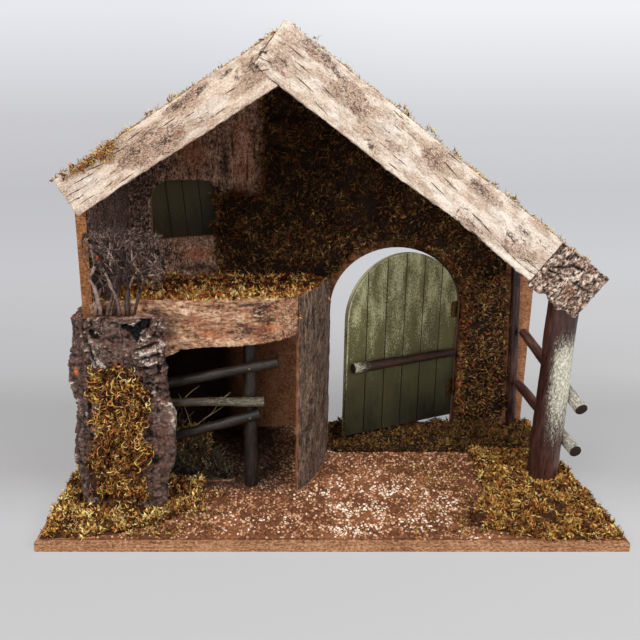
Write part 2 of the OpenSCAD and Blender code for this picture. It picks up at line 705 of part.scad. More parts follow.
/* Posts and rails */
front_foot = [front_post_x, front + front_post_y, ground];
back_foot = [back_post_x, wall_face - back_post_d / 2 - seat, ground];
back_taper_share = 0.9;
post_swell_share = 1.03;    // the widest part of a knotted post
post_bulge_shares = [[0, 1], [0.12, 0.97], [0.3, 0.985], [0.52, 1], [0.56, post_swell_share], [0.6, 0.995],
  [0.85, 0.98], [1, 0.97]];
module knotted_post(d, high) {
  rotate_extrude($fn = round_fn) polygon(concat([[0, 0]],
    [for (s = post_bulge_shares) [s[1] * d / 2, s[0] * high]], [[0, high]]));
}
rail_near = 17;             // how far the rails reach in front of the middle of the front post
rail_upper_near_z = 88;
rail_upper_far_z = 127;
rail_lower_near_z = 45;
rail_lower_far_z = 66;
rail_far_out = 2;           // how far outside the foot of the back post the rails end
rail_upper = [rail_upper_near_z, rail_upper_far_z];
rail_lower = [rail_lower_near_z, rail_lower_far_z];
rail_far = [back_post_x + rail_far_out, back_foot[1] - back_post_d / 2 - seat];
// The place across the width at which a rail lies against the front post
function rail_post_x(z) = front_post_x + (z[0] - ground) * tan(front_lean)
  + (front_post_d * post_swell_share + rail_d) / 2 + seat;
// Both ends of a rail, so that it passes the front post at its seat
function rail_ends(z) = let (
    post_y = front + front_post_y,
    near_y = post_y - rail_near,
    out = (rail_post_x(z) - rail_far[0]) / (rail_far[1] - post_y))
  [[rail_post_x(z) + out * rail_near, near_y, z[0]], [rail_far[0], rail_far[1], z[1]]];
function along(ends, y) = ends[0] + (ends[1] - ends[0]) * (y - ends[0][1]) / (ends[1][1] - ends[0][1]);
rail_nail_l = 22;
module rail_nail(z, gap) {
  p = along(rail_ends(z), front + front_post_y);
  translate(p + [rail_d / 2, 0, 0]) rotate([0, -90, 0])
    cylinder(h = rail_nail_l + gap, d = nail_d + 2 * gap, $fn = round_fn);
}
module front_post() {
  color("rosybrown") difference() {
    intersection() {
      translate(front_foot - [0, 0, over]) rotate([0, front_lean, 0])
        knotted_post(front_post_d, ridge_z - ground);
      under_roof(0);
      translate([0, front, ground]) cube([right, base_d, ridge_z]);
    }
    rail_nail(rail_upper, fit);
    rail_nail(rail_lower, fit);
    base_screw_holes(fit);
  }
}
module back_post() {
  color("rosybrown") intersection() {
    translate(back_foot - [0, 0, over]) rotate([0, -back_lean, 0])
      cylinder(h = ridge_z, d1 = back_post_d, d2 = back_post_d * back_taper_share, $fn = round_fn);
    under_roof(seat);
    translate([0, front, ground]) cube([right, base_d, ridge_z]);
  }
}
module side_rail(z) {
  ends = rail_ends(z);
  color("dimgray") difference() {
    branch(ends[0], ends[1], rail_d, rail_d2);
    rail_nail(z, fit);
  }
}
module side_rail_upper() { side_rail(rail_upper); }
module side_rail_lower() { side_rail(rail_lower); }
module rail_nails() {
  color("dimgray") for (z = [rail_upper, rail_lower]) rail_nail(z, 0);
}

/* Stall fence under the loft */
stall_at = [stall_post_x, front + stall_post_y];
stall_upper_left_z = 105;
stall_upper_right_z = 138;
stall_upper_reach = 26.5;   // how far each rail reaches past the middle of the post
stall_mid_left_z = 98;
stall_mid_right_z = 99;
stall_mid_reach = 13.5;
stall_lower_left_z = 46;
stall_lower_right_z = 87;
stall_lower_reach = 9.5;
stall_nail_l = 15;
stall_mid_share = 0.86;     // how thick the middle and the lower rail are beside the upper one
stall_lower_share = 0.96;
// Each rail: height at the wall, height at its end, place of its end, share of the full thickness
stall_upper = [stall_upper_left_z, stall_upper_right_z, stall_post_x + stall_upper_reach, 1];
stall_mid = [stall_mid_left_z, stall_mid_right_z, stall_post_x + stall_mid_reach, stall_mid_share];
stall_lower = [stall_lower_left_z, stall_lower_right_z, stall_post_x + stall_lower_reach, stall_lower_share];
stall_rail_x0 = side_in - over;
// How far along a rail the post is, and the height, thickness and place in depth of the rail there
function stall_t(e) = (stall_post_x - stall_rail_x0) / (e[2] - stall_rail_x0);
function stall_rail_z(e) = e[0] + (e[1] - e[0]) * stall_t(e);
function stall_thick(e) = (stall_rail_d2 + (stall_rail_d - stall_rail_d2) * stall_t(e)) * e[3];
function stall_rail_y(e) = stall_at[1] - (stall_post_d + stall_thick(e)) / 2 - seat;
// A nail, or with a gap its bore, which starts clear of the round face of the rail
module stall_nail(e, gap) {
  lead = gap > 0 ? over : 0;
  translate([stall_post_x, stall_rail_y(e) - stall_thick(e) / 2 - lead, stall_rail_z(e)]) rotate([-90, 0, 0])
    cylinder(h = lead + stall_nail_l + gap, d = nail_d + 2 * gap, $fn = round_fn);
}
module stall_post() {
  color("dimgray") difference() {
    translate(concat(stall_at, [ground])) cylinder(h = loft_z - ground, d = stall_post_d, $fn = round_fn);
    for (e = [stall_upper, stall_mid, stall_lower]) stall_nail(e, fit);
    base_screw_holes(fit);
  }
}
module stall_rail(e) {
  color("dimgray") difference() {
    branch([stall_rail_x0, stall_rail_y(e), e[0]], [e[2], stall_rail_y(e), e[1]],
      stall_rail_d2 * e[3], stall_rail_d * e[3]);
    stall_nail(e, fit);
    translate([side_in - side_t, stall_rail_y(e) - stall_rail_d, ground])
      cube([side_t + seat, 2 * stall_rail_d, loft_z]);
  }
}
module stall_rail_upper() { stall_rail(stall_upper); }
module stall_rail_mid() { stall_rail(stall_mid); }
module stall_rail_lower() { stall_rail(stall_lower); }
module stall_nails() {
  color("dimgray") for (e = [stall_upper, stall_mid, stall_lower]) stall_nail(e, 0);
}
hay_t = 12;
hay_shares = [[0, 0.95], [0.25, 0.8], [0.5, 0.62], [0.8, 0.3], [1, 0.06]];
hay_gap = 18;           // from the hay to the middle of the stall post
hay_w = stall_post_x - side_in - hay_gap;
hay_h = 128;
module hay() {
  y0 = stall_at[1] + stall_post_d / 2 + seat;
  color("khaki") upright(y0, y0 + hay_t) polygon(concat(
    [[side_in + seat, ground], [side_in + hay_w, ground]],
    [for (i = [len(hay_shares) - 1 : -1 : 0]) let (s = hay_shares[i])
      [side_in + seat + s[0] * (hay_w - seat), ground + s[1] * hay_h]]));
}

/* Ground */
margin = 5;             // bare edge of the board along its front
edge_bare = 2;          // bare edge along its sides
foot_gap = 0.4;         // gap round what stands in the moss
left_moss_shares = [[0, 0], [0.3, 0.03], [0.5, 0.12], [0.6, 0.22], [0.62, 0.45], [0.6, 1], [0, 1]];
right_moss_shares = [[0.08, 0.1], [0.5, 0], [1, 0], [1, 1], [0.42, 1], [0.36, 0.62], [0.3, 0.3]];
left_moss_share = 0.42;     // width of the moss zones beside the base board
right_moss_share = 0.28;
moss_zone_w = base_w * left_moss_share;
right_moss_w = base_w * right_moss_share;
module zone(x0, w, shares, gap) {
  high = wall_face - front - margin - gap;
  polygon([for (s = shares) [x0 + s[0] * w, front + margin + s[1] * high]]);
}
module left_zone() { zone(left + edge_bare, moss_zone_w, left_moss_shares, seat); }
module right_zone() { zone(right - edge_bare - right_moss_w, right_moss_w, right_moss_shares, seat); }
back_moss_front = 168;      // from the front edge of the base to the moss before the back wall
back_moss_y0 = front + back_moss_front;
module back_zone() {
  translate([loft_turn + loft_rx + apron_t, back_moss_y0])
    square([wall_end - loft_turn - loft_rx - apron_t, wall_face - seat - back_moss_y0]);
}
// Footprints of everything that stands on the board
module feet() {
  translate([side_out - foot_gap, front + side_front - foot_gap])
    square([side_t + 2 * foot_gap, wall_face - front - side_front + 2 * foot_gap]);
  polygon(concat([for (p = pier_skin(foot_gap + furrow)) p],
    [[pier_in_x + seat, pier_y1 + foot_gap], [pier_in_x + seat, pier_in_y + foot_gap],
     [pier_right + foot_gap, pier_in_y + foot_gap], [pier_right + foot_gap, pier_out_y - foot_gap]]));
  translate([front_foot[0], front_foot[1]]) circle(d = front_post_d + 4 * foot_gap, $fn = round_fn);
  translate([back_foot[0] - seat, back_foot[1]]) circle(d = back_post_d + 4 * foot_gap, $fn = round_fn);
  translate(stall_at) circle(d = stall_post_d + 2 * foot_gap, $fn = round_fn);
  translate([side_in, stall_at[1] + stall_post_d / 2 - seat])
    square([hay_w + foot_gap, hay_t + 4 * foot_gap]);
  a0 = post_from_angle - post_gap_angle;
  a1 = post_to_angle + post_gap_angle;
  polygon(concat(
    [for (i = [0 : curve_fn]) let (a = a0 + (a1 - a0) * i / curve_fn)
      [loft_turn + (loft_rx + apron_t + foot_gap) * sin(a),
       wall_face - (loft_ry + apron_t + foot_gap) * cos(a)]],
    [for (i = [curve_fn : -1 : 0]) let (a = a0 + (a1 - a0) * i / curve_fn)
      [loft_turn + (loft_rx + apron_t - loft_post_t - foot_gap) * sin(a),
       wall_face - (loft_ry + apron_t - loft_post_t - foot_gap) * cos(a)]]));
}
module ground_moss_left() {
  color("olivedrab") translate([0, 0, ground]) linear_extrude(moss_h) difference() {
    left_zone();
    feet();
  }
}
module ground_moss_right() {
  color("olivedrab") translate([0, 0, ground]) linear_extrude(moss_h) difference() {
    right_zone();
    back_zone();
    feet();
  }
}
module ground_moss_back() {
  color("darkolivegreen") translate([0, 0, ground]) linear_extrude(back_moss_h) difference() {
    back_zone();
    feet();
  }
}
module gravel_bed() {
  color("rosybrown") translate([0, 0, ground]) linear_extrude(gravel_h) difference() {
    translate([left + edge_bare, front + margin])
      square([base_w - 2 * edge_bare, wall_face - seat - front - margin]);
    left_zone();
    right_zone();
    back_zone();
    feet();
  }
}

base_board();
ground_moss_left();
ground_moss_right();
ground_moss_back();
gravel_bed();
back_wall();
left_wall();
side_bark();
wall_bark();
wall_moss();
roof_left();
roof_right();
roof_moss_left();
roof_moss_right();
fascia_left();
fascia_right();
fascia_end();
loft_floor();
loft_moss();
loft_apron();
loft_post();
corner_pier();
pier_moss();
brushwood();
window_shutter();
door();
door_bar();
door_bar_nails();
door_hinge_leaves();
wall_hinge_leaves();
hinge_pins();
front_post();
back_post();
side_rail_upper();
side_rail_lower();
rail_nails();
stall_post();
stall_rail_upper();
stall_rail_mid();
stall_rail_lower();
stall_nails();
hay();
base_screws();
loft_screws();
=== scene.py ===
"""Dressing of a wooden nativity stable: bark, moss, gravel, twigs, hay and a painted door.

The solids come from the frame. Soft and bark-clad solids are replaced by finer pieces that are
shaped here, and every solid that stays is given a finish. All lengths are in metres unless a name
ends in _mm, and all places are in the frame of the solids: the front faces -Y and Z is up.
"""

import logging
import random
from collections.abc import Callable, Iterable, Sequence
from dataclasses import dataclass, field
from enum import Enum
from math import atan2, copysign, cos, hypot, pi, radians, sin, tan, tau

import bmesh
import bpy
from bmesh.types import BMEdge, BMesh, BMLayerItem, BMVert
from bpy.types import ID, Material, Mesh, Node, NodeSocket, NodeTree, Object
from mathutils import Matrix, Vector, noise


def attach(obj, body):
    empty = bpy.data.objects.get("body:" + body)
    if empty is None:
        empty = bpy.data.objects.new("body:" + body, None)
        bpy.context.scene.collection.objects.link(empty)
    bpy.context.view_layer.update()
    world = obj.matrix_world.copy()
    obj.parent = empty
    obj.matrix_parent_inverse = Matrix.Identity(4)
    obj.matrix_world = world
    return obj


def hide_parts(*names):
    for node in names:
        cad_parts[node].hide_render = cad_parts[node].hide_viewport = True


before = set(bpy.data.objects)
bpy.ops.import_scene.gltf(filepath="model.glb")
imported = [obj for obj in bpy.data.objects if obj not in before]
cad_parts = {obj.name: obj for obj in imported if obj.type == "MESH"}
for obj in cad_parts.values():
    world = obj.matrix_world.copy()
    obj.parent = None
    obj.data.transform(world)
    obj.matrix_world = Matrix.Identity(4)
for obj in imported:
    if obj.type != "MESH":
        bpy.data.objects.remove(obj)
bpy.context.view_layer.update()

LOG = logging.getLogger("stable")
MM = 0.001
UP = Vector((0, 0, 1))
FRONT = Vector((0, -1, 0))
EDGE_X, EDGE_Y = 0.2498, 0.1248  # just inside the edges of the base board
RIDGE_TOP = 0.4302  # height of the solids
ARCH_X, ARCH_Z = 0.085, 0.152  # middle of the round of the door's arch
HINGE_X, HINGE_Y = 0.1564, 0.1089  # the line that the door turns about
Point = tuple[float, float, float]
Colour = tuple[float, float, float, float]
Scratch = tuple[float, float, float, float]


def rgb(red: float, green: float, blue: float) -> Colour:
    """A screen colour of 0 to 255 per channel as the linear colour that a shader takes.

    Args:
        red: Red channel.
        green: Green channel.
        blue: Blue channel.

    Returns:
        The linear colour, fully opaque.
    """

    def linear(byte: float) -> float:
        """One channel."""
        share = byte / 255
        return share / 12.92 if share <= 0.04045 else ((share + 0.055) / 1.055) ** 2.4

    return (linear(red), linear(green), linear(blue), 1.0)


def smooth(value: float, low: float, high: float) -> float:
    """A soft step of a value, 0 below low and 1 above high; low may be the larger.

    Args:
        value: The value.
        low: Where the step starts.
        high: Where it ends.

    Returns:
        A share from 0 to 1.
    """
    share = min(max((value - low) / (high - low), 0.0), 1.0)
    return share * share * (3 - 2 * share)


def clamp(value: float, low: float = 0, high: float = 1) -> float:
    """The value, kept between two limits."""
    return min(max(value, low), high)


def stepped(value: float) -> float:
    """A value cut down to whole fifths."""
    return value * 5 // 1 / 5


def fbm(place: Vector, size_mm: float, octaves: int = 4) -> float:
    """Layered noise of about -1 to 1 whose largest features have a size."""
    return noise.fractal(place / (size_mm * MM), 1.0, 2.0, octaves)


def ridged(place: Vector, size_mm: float, octaves: int = 3) -> float:
    """Noise from 0 to 1 with sharp ridges near 1."""
    return noise.ridged_multi_fractal(place / (size_mm * MM), 1.0, 2.0, octaves, 1.0, 2.0) / 2.2


# ---------------------------------------------------------------- finishes


class Value:
    """A socket of a node tree; arithmetic on it adds Math nodes."""

    def __init__(self, coat: "Nodes", socket: NodeSocket) -> None:
        """Keep the socket and the tree that it belongs to."""
        self.coat = coat
        self.socket = socket

    def math(self, operation: str, *values: "Value | float") -> "Value":
        """A Math node on these values."""
        inputs = dict(enumerate(values))
        return self.coat.value("ShaderNodeMath", {"operation": operation}, inputs)

    def __add__(self, other: "Value | float") -> "Value":
        """Sum."""
        return self.math("ADD", self, other)

    __radd__ = __add__

    def __sub__(self, other: "Value | float") -> "Value":
        """Difference."""
        return self.math("SUBTRACT", self, other)

    def __rsub__(self, other: "Value | float") -> "Value":
        """Difference, with the value second."""
        return self.math("SUBTRACT", other, self)

    def __mul__(self, other: "Value | float") -> "Value":
        """Product."""
        return self.math("MULTIPLY", self, other)

    __rmul__ = __mul__

    def __truediv__(self, other: "Value | float") -> "Value":
        """Quotient."""
        return self.math("DIVIDE", self, other)

    def size(self) -> "Value":
        """Absolute value."""
        return self.math("ABSOLUTE", self)

    def most(self, other: "Value | float") -> "Value":
        """The larger of two."""
        return self.math("MAXIMUM", self, other)

    def step(self, low: float, high: float) -> "Value":
        """A soft step, 0 at low and 1 at high.

        Args:
            low: Where it starts.
            high: Where it ends; it may be the smaller.

        Returns:
            The step.
        """
        return self.coat.value(
            "ShaderNodeMapRange",
            {"interpolation_type": "SMOOTHSTEP"},
            {"Value": self, "From Min": low, "From Max": high},
        )

    def axis(self, index: int) -> "Value":
        """One number of a vector."""
        return self.coat.value("ShaderNodeSeparateXYZ", {}, {0: self}, index)


class Nodes:
    """A node tree that is built node by node."""

    def __init__(self, tree: NodeTree) -> None:
        """Start with an empty tree."""
        self.tree = tree
        tree.nodes.clear()

    def add(self, kind: str, settings: dict, inputs: dict) -> Node:
        """Add any node.

        Args:
            kind: Blender's name of the node's type.
            settings: Its properties; stops are a ramp's pairs of place and colour.
            inputs: Values or numbers by the name or number of the socket.

        Returns:
            The node.
        """
        node = self.tree.nodes.new(kind)
        for key, setting in settings.items():
            if key == "stops":
                while len(node.color_ramp.elements) < len(setting):
                    node.color_ramp.elements.new(0.5)
                for element, (place, colour) in zip(node.color_ramp.elements, setting):
                    element.position = place
                    element.color = colour
            else:
                setattr(node, key, setting)
        self.feed(node, inputs)
        return node

    def feed(self, node: Node, inputs: dict) -> None:
        """Link values to the sockets of a node, and set those that are numbers.

        Args:
            node: The node.
            inputs: Values or numbers by the name or number of the socket.
        """
        for key, value in inputs.items():
            if isinstance(value, Value):
                self.tree.links.new(value.socket, node.inputs[key])
            else:
                node.inputs[key].default_value = value

    def value(self, kind: str, settings: dict, inputs: dict, output: int | str = 0) -> Value:
        """Add a node and take one of its outputs."""
        return Value(self, self.add(kind, settings, inputs).outputs[output])

    def vector(self, operation: str, *vectors: Value | Point, output: int | str = 0) -> Value:
        """A Vector Math node on these vectors."""
        inputs = dict(enumerate(vectors))
        return self.value("ShaderNodeVectorMath", {"operation": operation}, inputs, output)

    def coords(self) -> Value:
        """Object coordinates."""
        return self.value("ShaderNodeTexCoord", {}, {}, "Object")

    def grain(self) -> Value:
        """The piece's own coordinates along its fibre, across it and through it."""
        return self.value("ShaderNodeAttribute", {"attribute_name": "grain"}, {}, "Vector")

    def mark(self, name: str) -> Value:
        """A number that the piece carries at its points."""
        return self.value("ShaderNodeAttribute", {"attribute_name": name}, {}, "Fac")

    def turned(self, vector: Value, degrees: float) -> Value:
        """A vector turned about Z."""
        inputs = {"Vector": vector, "Rotation": (0, 0, radians(degrees))}
        return self.value("ShaderNodeMapping", {"vector_type": "POINT"}, inputs)

    def stretched(self, vector: Value, size_mm: float | Point) -> Value:
        """A vector measured in steps of a size, so that a pattern of size one follows it.

        Args:
            vector: The vector.
            size_mm: One size, or one for each axis.

        Returns:
            The vector in steps.
        """
        sizes = size_mm if isinstance(size_mm, tuple) else (size_mm,) * 3
        return self.vector("MULTIPLY", vector, tuple(1 / (size * MM) for size in sizes))

    def noise(
        self,
        vector: Value,
        size_mm: float | Point,
        detail: float = 4,
        roughness: float = 0.55,
        warp: float = 0,
    ) -> Value:
        """Noise from 0 to 1 with features of a size, or of one size along each axis.

        Args:
            vector: Where it is read.
            size_mm: Size of the largest features.
            detail: Number of finer layers.
            roughness: Strength of the finer layers.
            warp: How far it is twisted.

        Returns:
            The noise.
        """
        inputs = {
            "Vector": self.stretched(vector, size_mm),
            "Scale": 1.0,
            "Detail": detail,
            "Roughness": roughness,
            "Distortion": warp,
        }
        return self.value("ShaderNodeTexNoise", {}, inputs)

    def warped(self, vector: Value, size_mm: float, by_mm: float) -> Value:
        """A vector shifted by noise.

        Args:
            vector: The vector.
            size_mm: Size of the waves.
            by_mm: How far they shift it.

        Returns:
            The shifted vector.
        """
        inputs = {"Vector": self.stretched(vector, size_mm), "Scale": 1.0, "Detail": 3.0}
        colour = self.value("ShaderNodeTexNoise", {}, inputs, "Color")
        off = self.vector("SUBTRACT", colour, (0.5, 0.5, 0.5))
        return self.vector("MULTIPLY_ADD", off, (by_mm * MM * 2,) * 3, vector)

    def borders(self, vector: Value, size_mm: float | Point) -> Value:
        """Distance to the nearest border between cells of a size.

        Args:
            vector: Where it is read.
            size_mm: Size of the cells, one or one for each axis.

        Returns:
            The distance.
        """
        inputs = {"Vector": self.stretched(vector, size_mm), "Scale": 1.0}
        settings = {"feature": "DISTANCE_TO_EDGE"}
        return self.value("ShaderNodeTexVoronoi", settings, inputs, "Distance")

    def ramp(self, factor: Value, stops: Sequence[tuple[float, Colour]]) -> Value:
        """Colours along a factor."""
        return self.value("ShaderNodeValToRGB", {"stops": stops}, {0: factor})

    def mix(
        self, factor: Value | float, first: Value | Colour, second: Value | Colour, way: str = "MIX"
    ) -> Value:
        """Two colours mixed by a factor."""
        settings = {"data_type": "RGBA", "blend_type": way, "clamp_factor": True}
        return self.value("ShaderNodeMix", settings, {0: factor, 6: first, 7: second}, 2)


class Coat(Nodes):
    """One material."""

    def __init__(self, name: str) -> None:
        """Start a material with an output and a principled shader.

        Args:
            name: Name of the material.
        """
        self.material = bpy.data.materials.new(name)
        self.material.use_nodes = True
        super().__init__(self.material.node_tree)
        self.output = self.tree.nodes.new("ShaderNodeOutputMaterial")
        self.shader = self.tree.nodes.new("ShaderNodeBsdfPrincipled")
        self.tree.links.new(self.shader.outputs[0], self.output.inputs[0])

    def finish(
        self,
        colour: Value,
        rough: Value | float,
        height: Value | None = None,
        height_mm: float = 0.3,
        metallic: float = 0.0,
        specular: float = 0.3,
    ) -> None:
        """Feed the shader.

        Args:
            colour: Base colour.
            rough: Roughness.
            height: Relief from 0 to 1.
            height_mm: How far the relief stands out.
            metallic: 1 for metal.
            specular: Strength of the gloss.
        """
        inputs = {
            "Base Color": colour,
            "Roughness": rough,
            "Metallic": metallic,
            "Specular IOR Level": specular,
        }
        if height is not None:
            relief = {"Height": height, "Distance": height_mm * MM, "Strength": 1.0}
            inputs["Normal"] = self.value("ShaderNodeBump", {}, relief)
        self.feed(self.shader, inputs)


MADE: dict["Finish", Material] = {}


@dataclass(frozen=True)
class Finish:
    """A finish; its material is made once."""

    name: str

    def paint(self, coat: Coat) -> None:
        """Build the nodes."""
        raise NotImplementedError

    def material(self) -> Material:
        """The material of this finish.

        Returns:
            The material, the same one each time.
        """
        if self not in MADE:
            coat = Coat(self.name)
            self.paint(coat)
            MADE[self] = coat.material
        return MADE[self]


@dataclass(frozen=True)
class Softboard(Finish):
    """Pressed wood fibre, mottled and speckled."""

    dark: Colour = rgb(92, 56, 36)
    body: Colour = rgb(164, 116, 82)
    pale: Colour = rgb(204, 160, 124)
    flat: bool = True
    # Painted shade: the flag and colour darken the stall end under the loft and the board right of
    # the arch.
    shade_painted: bool = False
    painted_shade_colour: Colour = rgb(20, 12, 8)

    def paint(self, coat: Coat) -> None:
        """Fibres, layers, blotches and fine holes; on the back wall, shade may be painted dark at
        the stall end and right of the arch.

        Args:
            coat: The material that is built.
        """
        place = coat.coords()
        fibre = coat.noise(place, (2.2, 2.2, 0.5) if self.flat else (1.1, 1.1, 1.4), 6, 0.75)
        layer = coat.noise(place, (40, 40, 1.6) if self.flat else (12, 12, 16), 3)
        blotch = coat.noise(place, 13, 3)
        specks = coat.noise(place, 0.7, 2, 0.8)
        crumbs = coat.noise(place, (2.6, 2.6, 1.5), 2, 0.6)
        tone = fibre * 0.32 + layer * 0.25 + blotch * 0.13 + crumbs * 0.5 - 0.1
        stops = [(0.38, self.dark), (0.5, self.body), (0.62, self.pale)]
        colour = coat.ramp(tone, stops)
        colour = coat.mix(specks.step(0.42, 0.3) * 0.7, colour, self.dark)
        if self.shade_painted:
            # Painted shade, front face only: dark at the stall end under the loft and on the board
            # right of the arch.
            across = place.axis(0)
            shade = across.step(-0.08, -0.108) * place.axis(2).step(0.19, 0.17)
            behind = across.step(0.05, 0.1) * across.step(0.19, 0.178) * 0.82
            front = place.axis(1).step(0.1125, 0.1112)
            colour = coat.mix((shade * 0.95).most(behind) * front, colour, self.painted_shade_colour)
        coat.finish(colour, 0.9, fibre * 0.6 + specks * 0.4, 0.5, specular=0.2)


@dataclass(frozen=True)
class BirchBark(Finish):
    """Cream birch bark with torn tan patches, fine grain and dark cracks."""

    smooth_a: Colour = rgb(226, 211, 194)
    smooth_b: Colour = rgb(198, 172, 150)
    torn_a: Colour = rgb(204, 176, 154)
    torn_b: Colour = rgb(136, 102, 80)
    speck: Colour = rgb(80, 54, 42)
    bright: Colour = rgb(244, 236, 226)
    black: Colour = rgb(46, 33, 28)

    def paint(self, coat: Coat) -> None:
        """Layers from the smooth skin up to the cracks.

        Args:
            coat: The material that is built.
        """
        grain = coat.grain()
        rough = coat.mark("rough")
        fine = coat.noise(grain, (1.1, 0.8, 1), 4, 0.75)
        mid = coat.noise(grain, (6, 3.2, 4), 5, 0.7, 0.4)
        cloud = coat.noise(grain, (20, 9, 9), 4)
        streak = coat.noise(grain, (14, 0.6, 3), 4, 0.7)
        skin = coat.mix(cloud.step(0.36, 0.62), self.smooth_a, self.smooth_b)
        skin = coat.mix(streak.step(0.52, 0.66) * 0.6, skin, self.torn_b)
        torn = coat.mix((mid * 0.6 + fine * 0.4).step(0.36, 0.6), self.torn_b, self.torn_a)
        patch = (rough + (mid - 0.5) * 1.3 + (fine - 0.5) * 0.9).step(0.3, 0.72)
        colour = coat.mix(patch, skin, torn)
        dust = coat.noise(grain, (1.5, 0.9, 2), 2, 0.7)
        colour = coat.mix(dust.step(0.45, 0.35) * (patch * 0.55 + 0.4), colour, self.speck)
        colour = coat.mix(dust.step(0.55, 0.68) * 0.6, colour, self.bright)
        thread = (coat.noise(grain, (7, 1.6, 4), 3, 0.6, 0.5) - 0.5).size().step(0.014, 0.004)
        thread = thread * cloud.step(0.42, 0.56) * 0.7
        colour = coat.mix(thread, colour, self.speck)
        bent = coat.warped(grain, 7, 4.5)
        loops = coat.borders(bent, (6.5, 3.4, 9)).step(0.06, 0.02)
        loops = loops * coat.noise(grain, 6, 3).step(0.5, 0.58) * patch * 0.75
        colour = coat.mix(loops, colour, self.black)
        black = coat.mark("dark") * (fine * 0.5 + dust * 0.5).step(0.58, 0.46)
        colour = coat.mix(black, colour, self.black)
        bright = coat.mark("pale") * (0.25 + fine * 0.9)
        colour = coat.mix(bright * 0.75, colour, self.bright)
        red = coat.mark("red") * fine.step(0.35, 0.6)
        colour = coat.mix(red, colour, rgb(158, 82, 56))
        rim = coat.mark("rim") * mid.step(0.35, 0.65)
        colour = coat.mix(rim * 0.7, colour, self.torn_b)
        height = fine * (patch * 0.6 + 0.3) - loops * 0.5 - thread * 0.4 + streak * 0.3
        coat.finish(colour, fine * 0.3 + 0.55, height, 0.7, specular=0.25)


@dataclass(frozen=True)
class Scar(Finish):
    """The dark lines in birch bark."""

    dark: Colour = rgb(58, 38, 30)
    light: Colour = rgb(112, 80, 62)

    def paint(self, coat: Coat) -> None:
        """Dark, broken by paler bits.

        Args:
            coat: The material that is built.
        """
        fine = coat.noise(coat.coords(), 1.0, 3, 0.7)
        colour = coat.mix(fine.step(0.48, 0.66), self.dark, self.light)
        coat.finish(colour, 0.85, fine, 0.1, specular=0.15)


@dataclass(frozen=True)
class FurrowedBark(Finish):
    """Thick bark with dark furrows and pale ridges, partly its own colour and partly painted shade
    and light; the ridges carry lichen.
    """

    deep: Colour
    body: Colour
    ridge: Colour
    lichen: Colour = rgb(216, 212, 202)
    red: Colour = rgb(132, 74, 50)
    lichen_from: float = 0.62
    red_share: float = 0.35
    size: Point = (1.4, 1.4, 1.4)
    flecks: float = 0.0
    speckle: float = 0.8
    crumb: float = 1.7
    bright: Colour = rgb(160, 136, 122)
    even: float = 1.0
    gain: float = 1.6
    crack: Point = (5, 5, 5)
    cracked: float = 0.7
    crust: Point = (1.7, 1.7, 1.7)

    def paint(self, coat: Coat) -> None:
        """Depth first, partly as painted shade, then the red inner bark, painted shade in the
        hollows, painted highlights on crumbs, cracks, lichen and the near-black of deep holes.

        Args:
            coat: The material that is built.
        """
        grain = coat.grain()
        high = coat.mark("high")
        fine = coat.noise(grain, self.size, 6, 0.75)
        mid = coat.noise(grain, tuple(value * 3.5 for value in self.size), 5, 0.65, 0.3)
        cloud = coat.noise(grain, 17, 4, 0.6)
        # Low places take the deep colour and high ones the ridge colour: partly the bark's own
        # tone, partly painted shade and light.
        tone = (high * 0.5 + fine * 0.3 + mid * 0.35 - 0.54) * self.gain + 0.48
        stops = [(0.22, self.deep), (0.45, self.body), (0.62, self.body), (0.8, self.ridge)]
        colour = coat.ramp(tone, stops)
        red = coat.noise(grain, 9, 3).step(0.48, 0.62) * self.red_share
        colour = coat.mix(red, colour, self.red)
        # Painted shade in the low pits of the relief.
        pit_shade = (fine * 0.6 + mid * 0.4).step(0.44, 0.36)
        colour = coat.mix(pit_shade * 0.8, colour, self.deep)
        wide = tuple(value * self.crumb for value in self.size)
        crumbs = coat.noise(grain, wide, 2, 0.6)
        pale = coat.mark("pale")
        colour = coat.mix(crumbs.step(0.48, 0.34) * self.speckle, colour, self.deep)
        # Crumbs lit pale: painted highlights.
        lit = crumbs.step(0.54, 0.66) * (pale * (1 - self.even) + self.even)
        colour = coat.mix(lit * self.speckle, colour, self.bright)
        lines = coat.noise(coat.warped(grain, 9, 3), self.crack, 3, 0.55)
        lines = (lines - 0.5).size().step(0.02, 0.006) * cloud.step(0.36, 0.5)
        colour = coat.mix(lines * self.cracked, colour, self.deep)
        crust = coat.noise(grain, self.crust, 4, 0.8)
        spots = (crust * 0.5 + cloud * 0.3 + high * 0.3).step(
            self.lichen_from, self.lichen_from + 0.06
        )
        fleck = coat.noise(coat.warped(grain, 4, 4), (0.7, 1.6, 1.6), 2).step(0.6, 0.66)
        spots = spots.most(fleck * self.flecks)
        spots = spots.most((crust * 0.8 + high * 0.3 + pale * 0.26).step(0.77, 0.84))
        shade = coat.mix(fine.step(0.42, 0.58), self.bright, self.lichen)
        colour = coat.mix(spots * 0.85, colour, shade)
        colour = coat.mix(coat.mark("red") * crust.step(0.3, 0.5), colour, rgb(196, 108, 60))
        # Near-black where a feature is marked dark: painted shade in deep holes, crevices and
        # grooves, and the dark rims of knots.
        colour = coat.mix(coat.mark("dark"), colour, rgb(10, 7, 6))
        height = fine * 0.8 + mid * 0.6 - lines * 0.5
        coat.finish(colour, 0.85 - fine * 0.25, height, 1.0, specular=0.35)


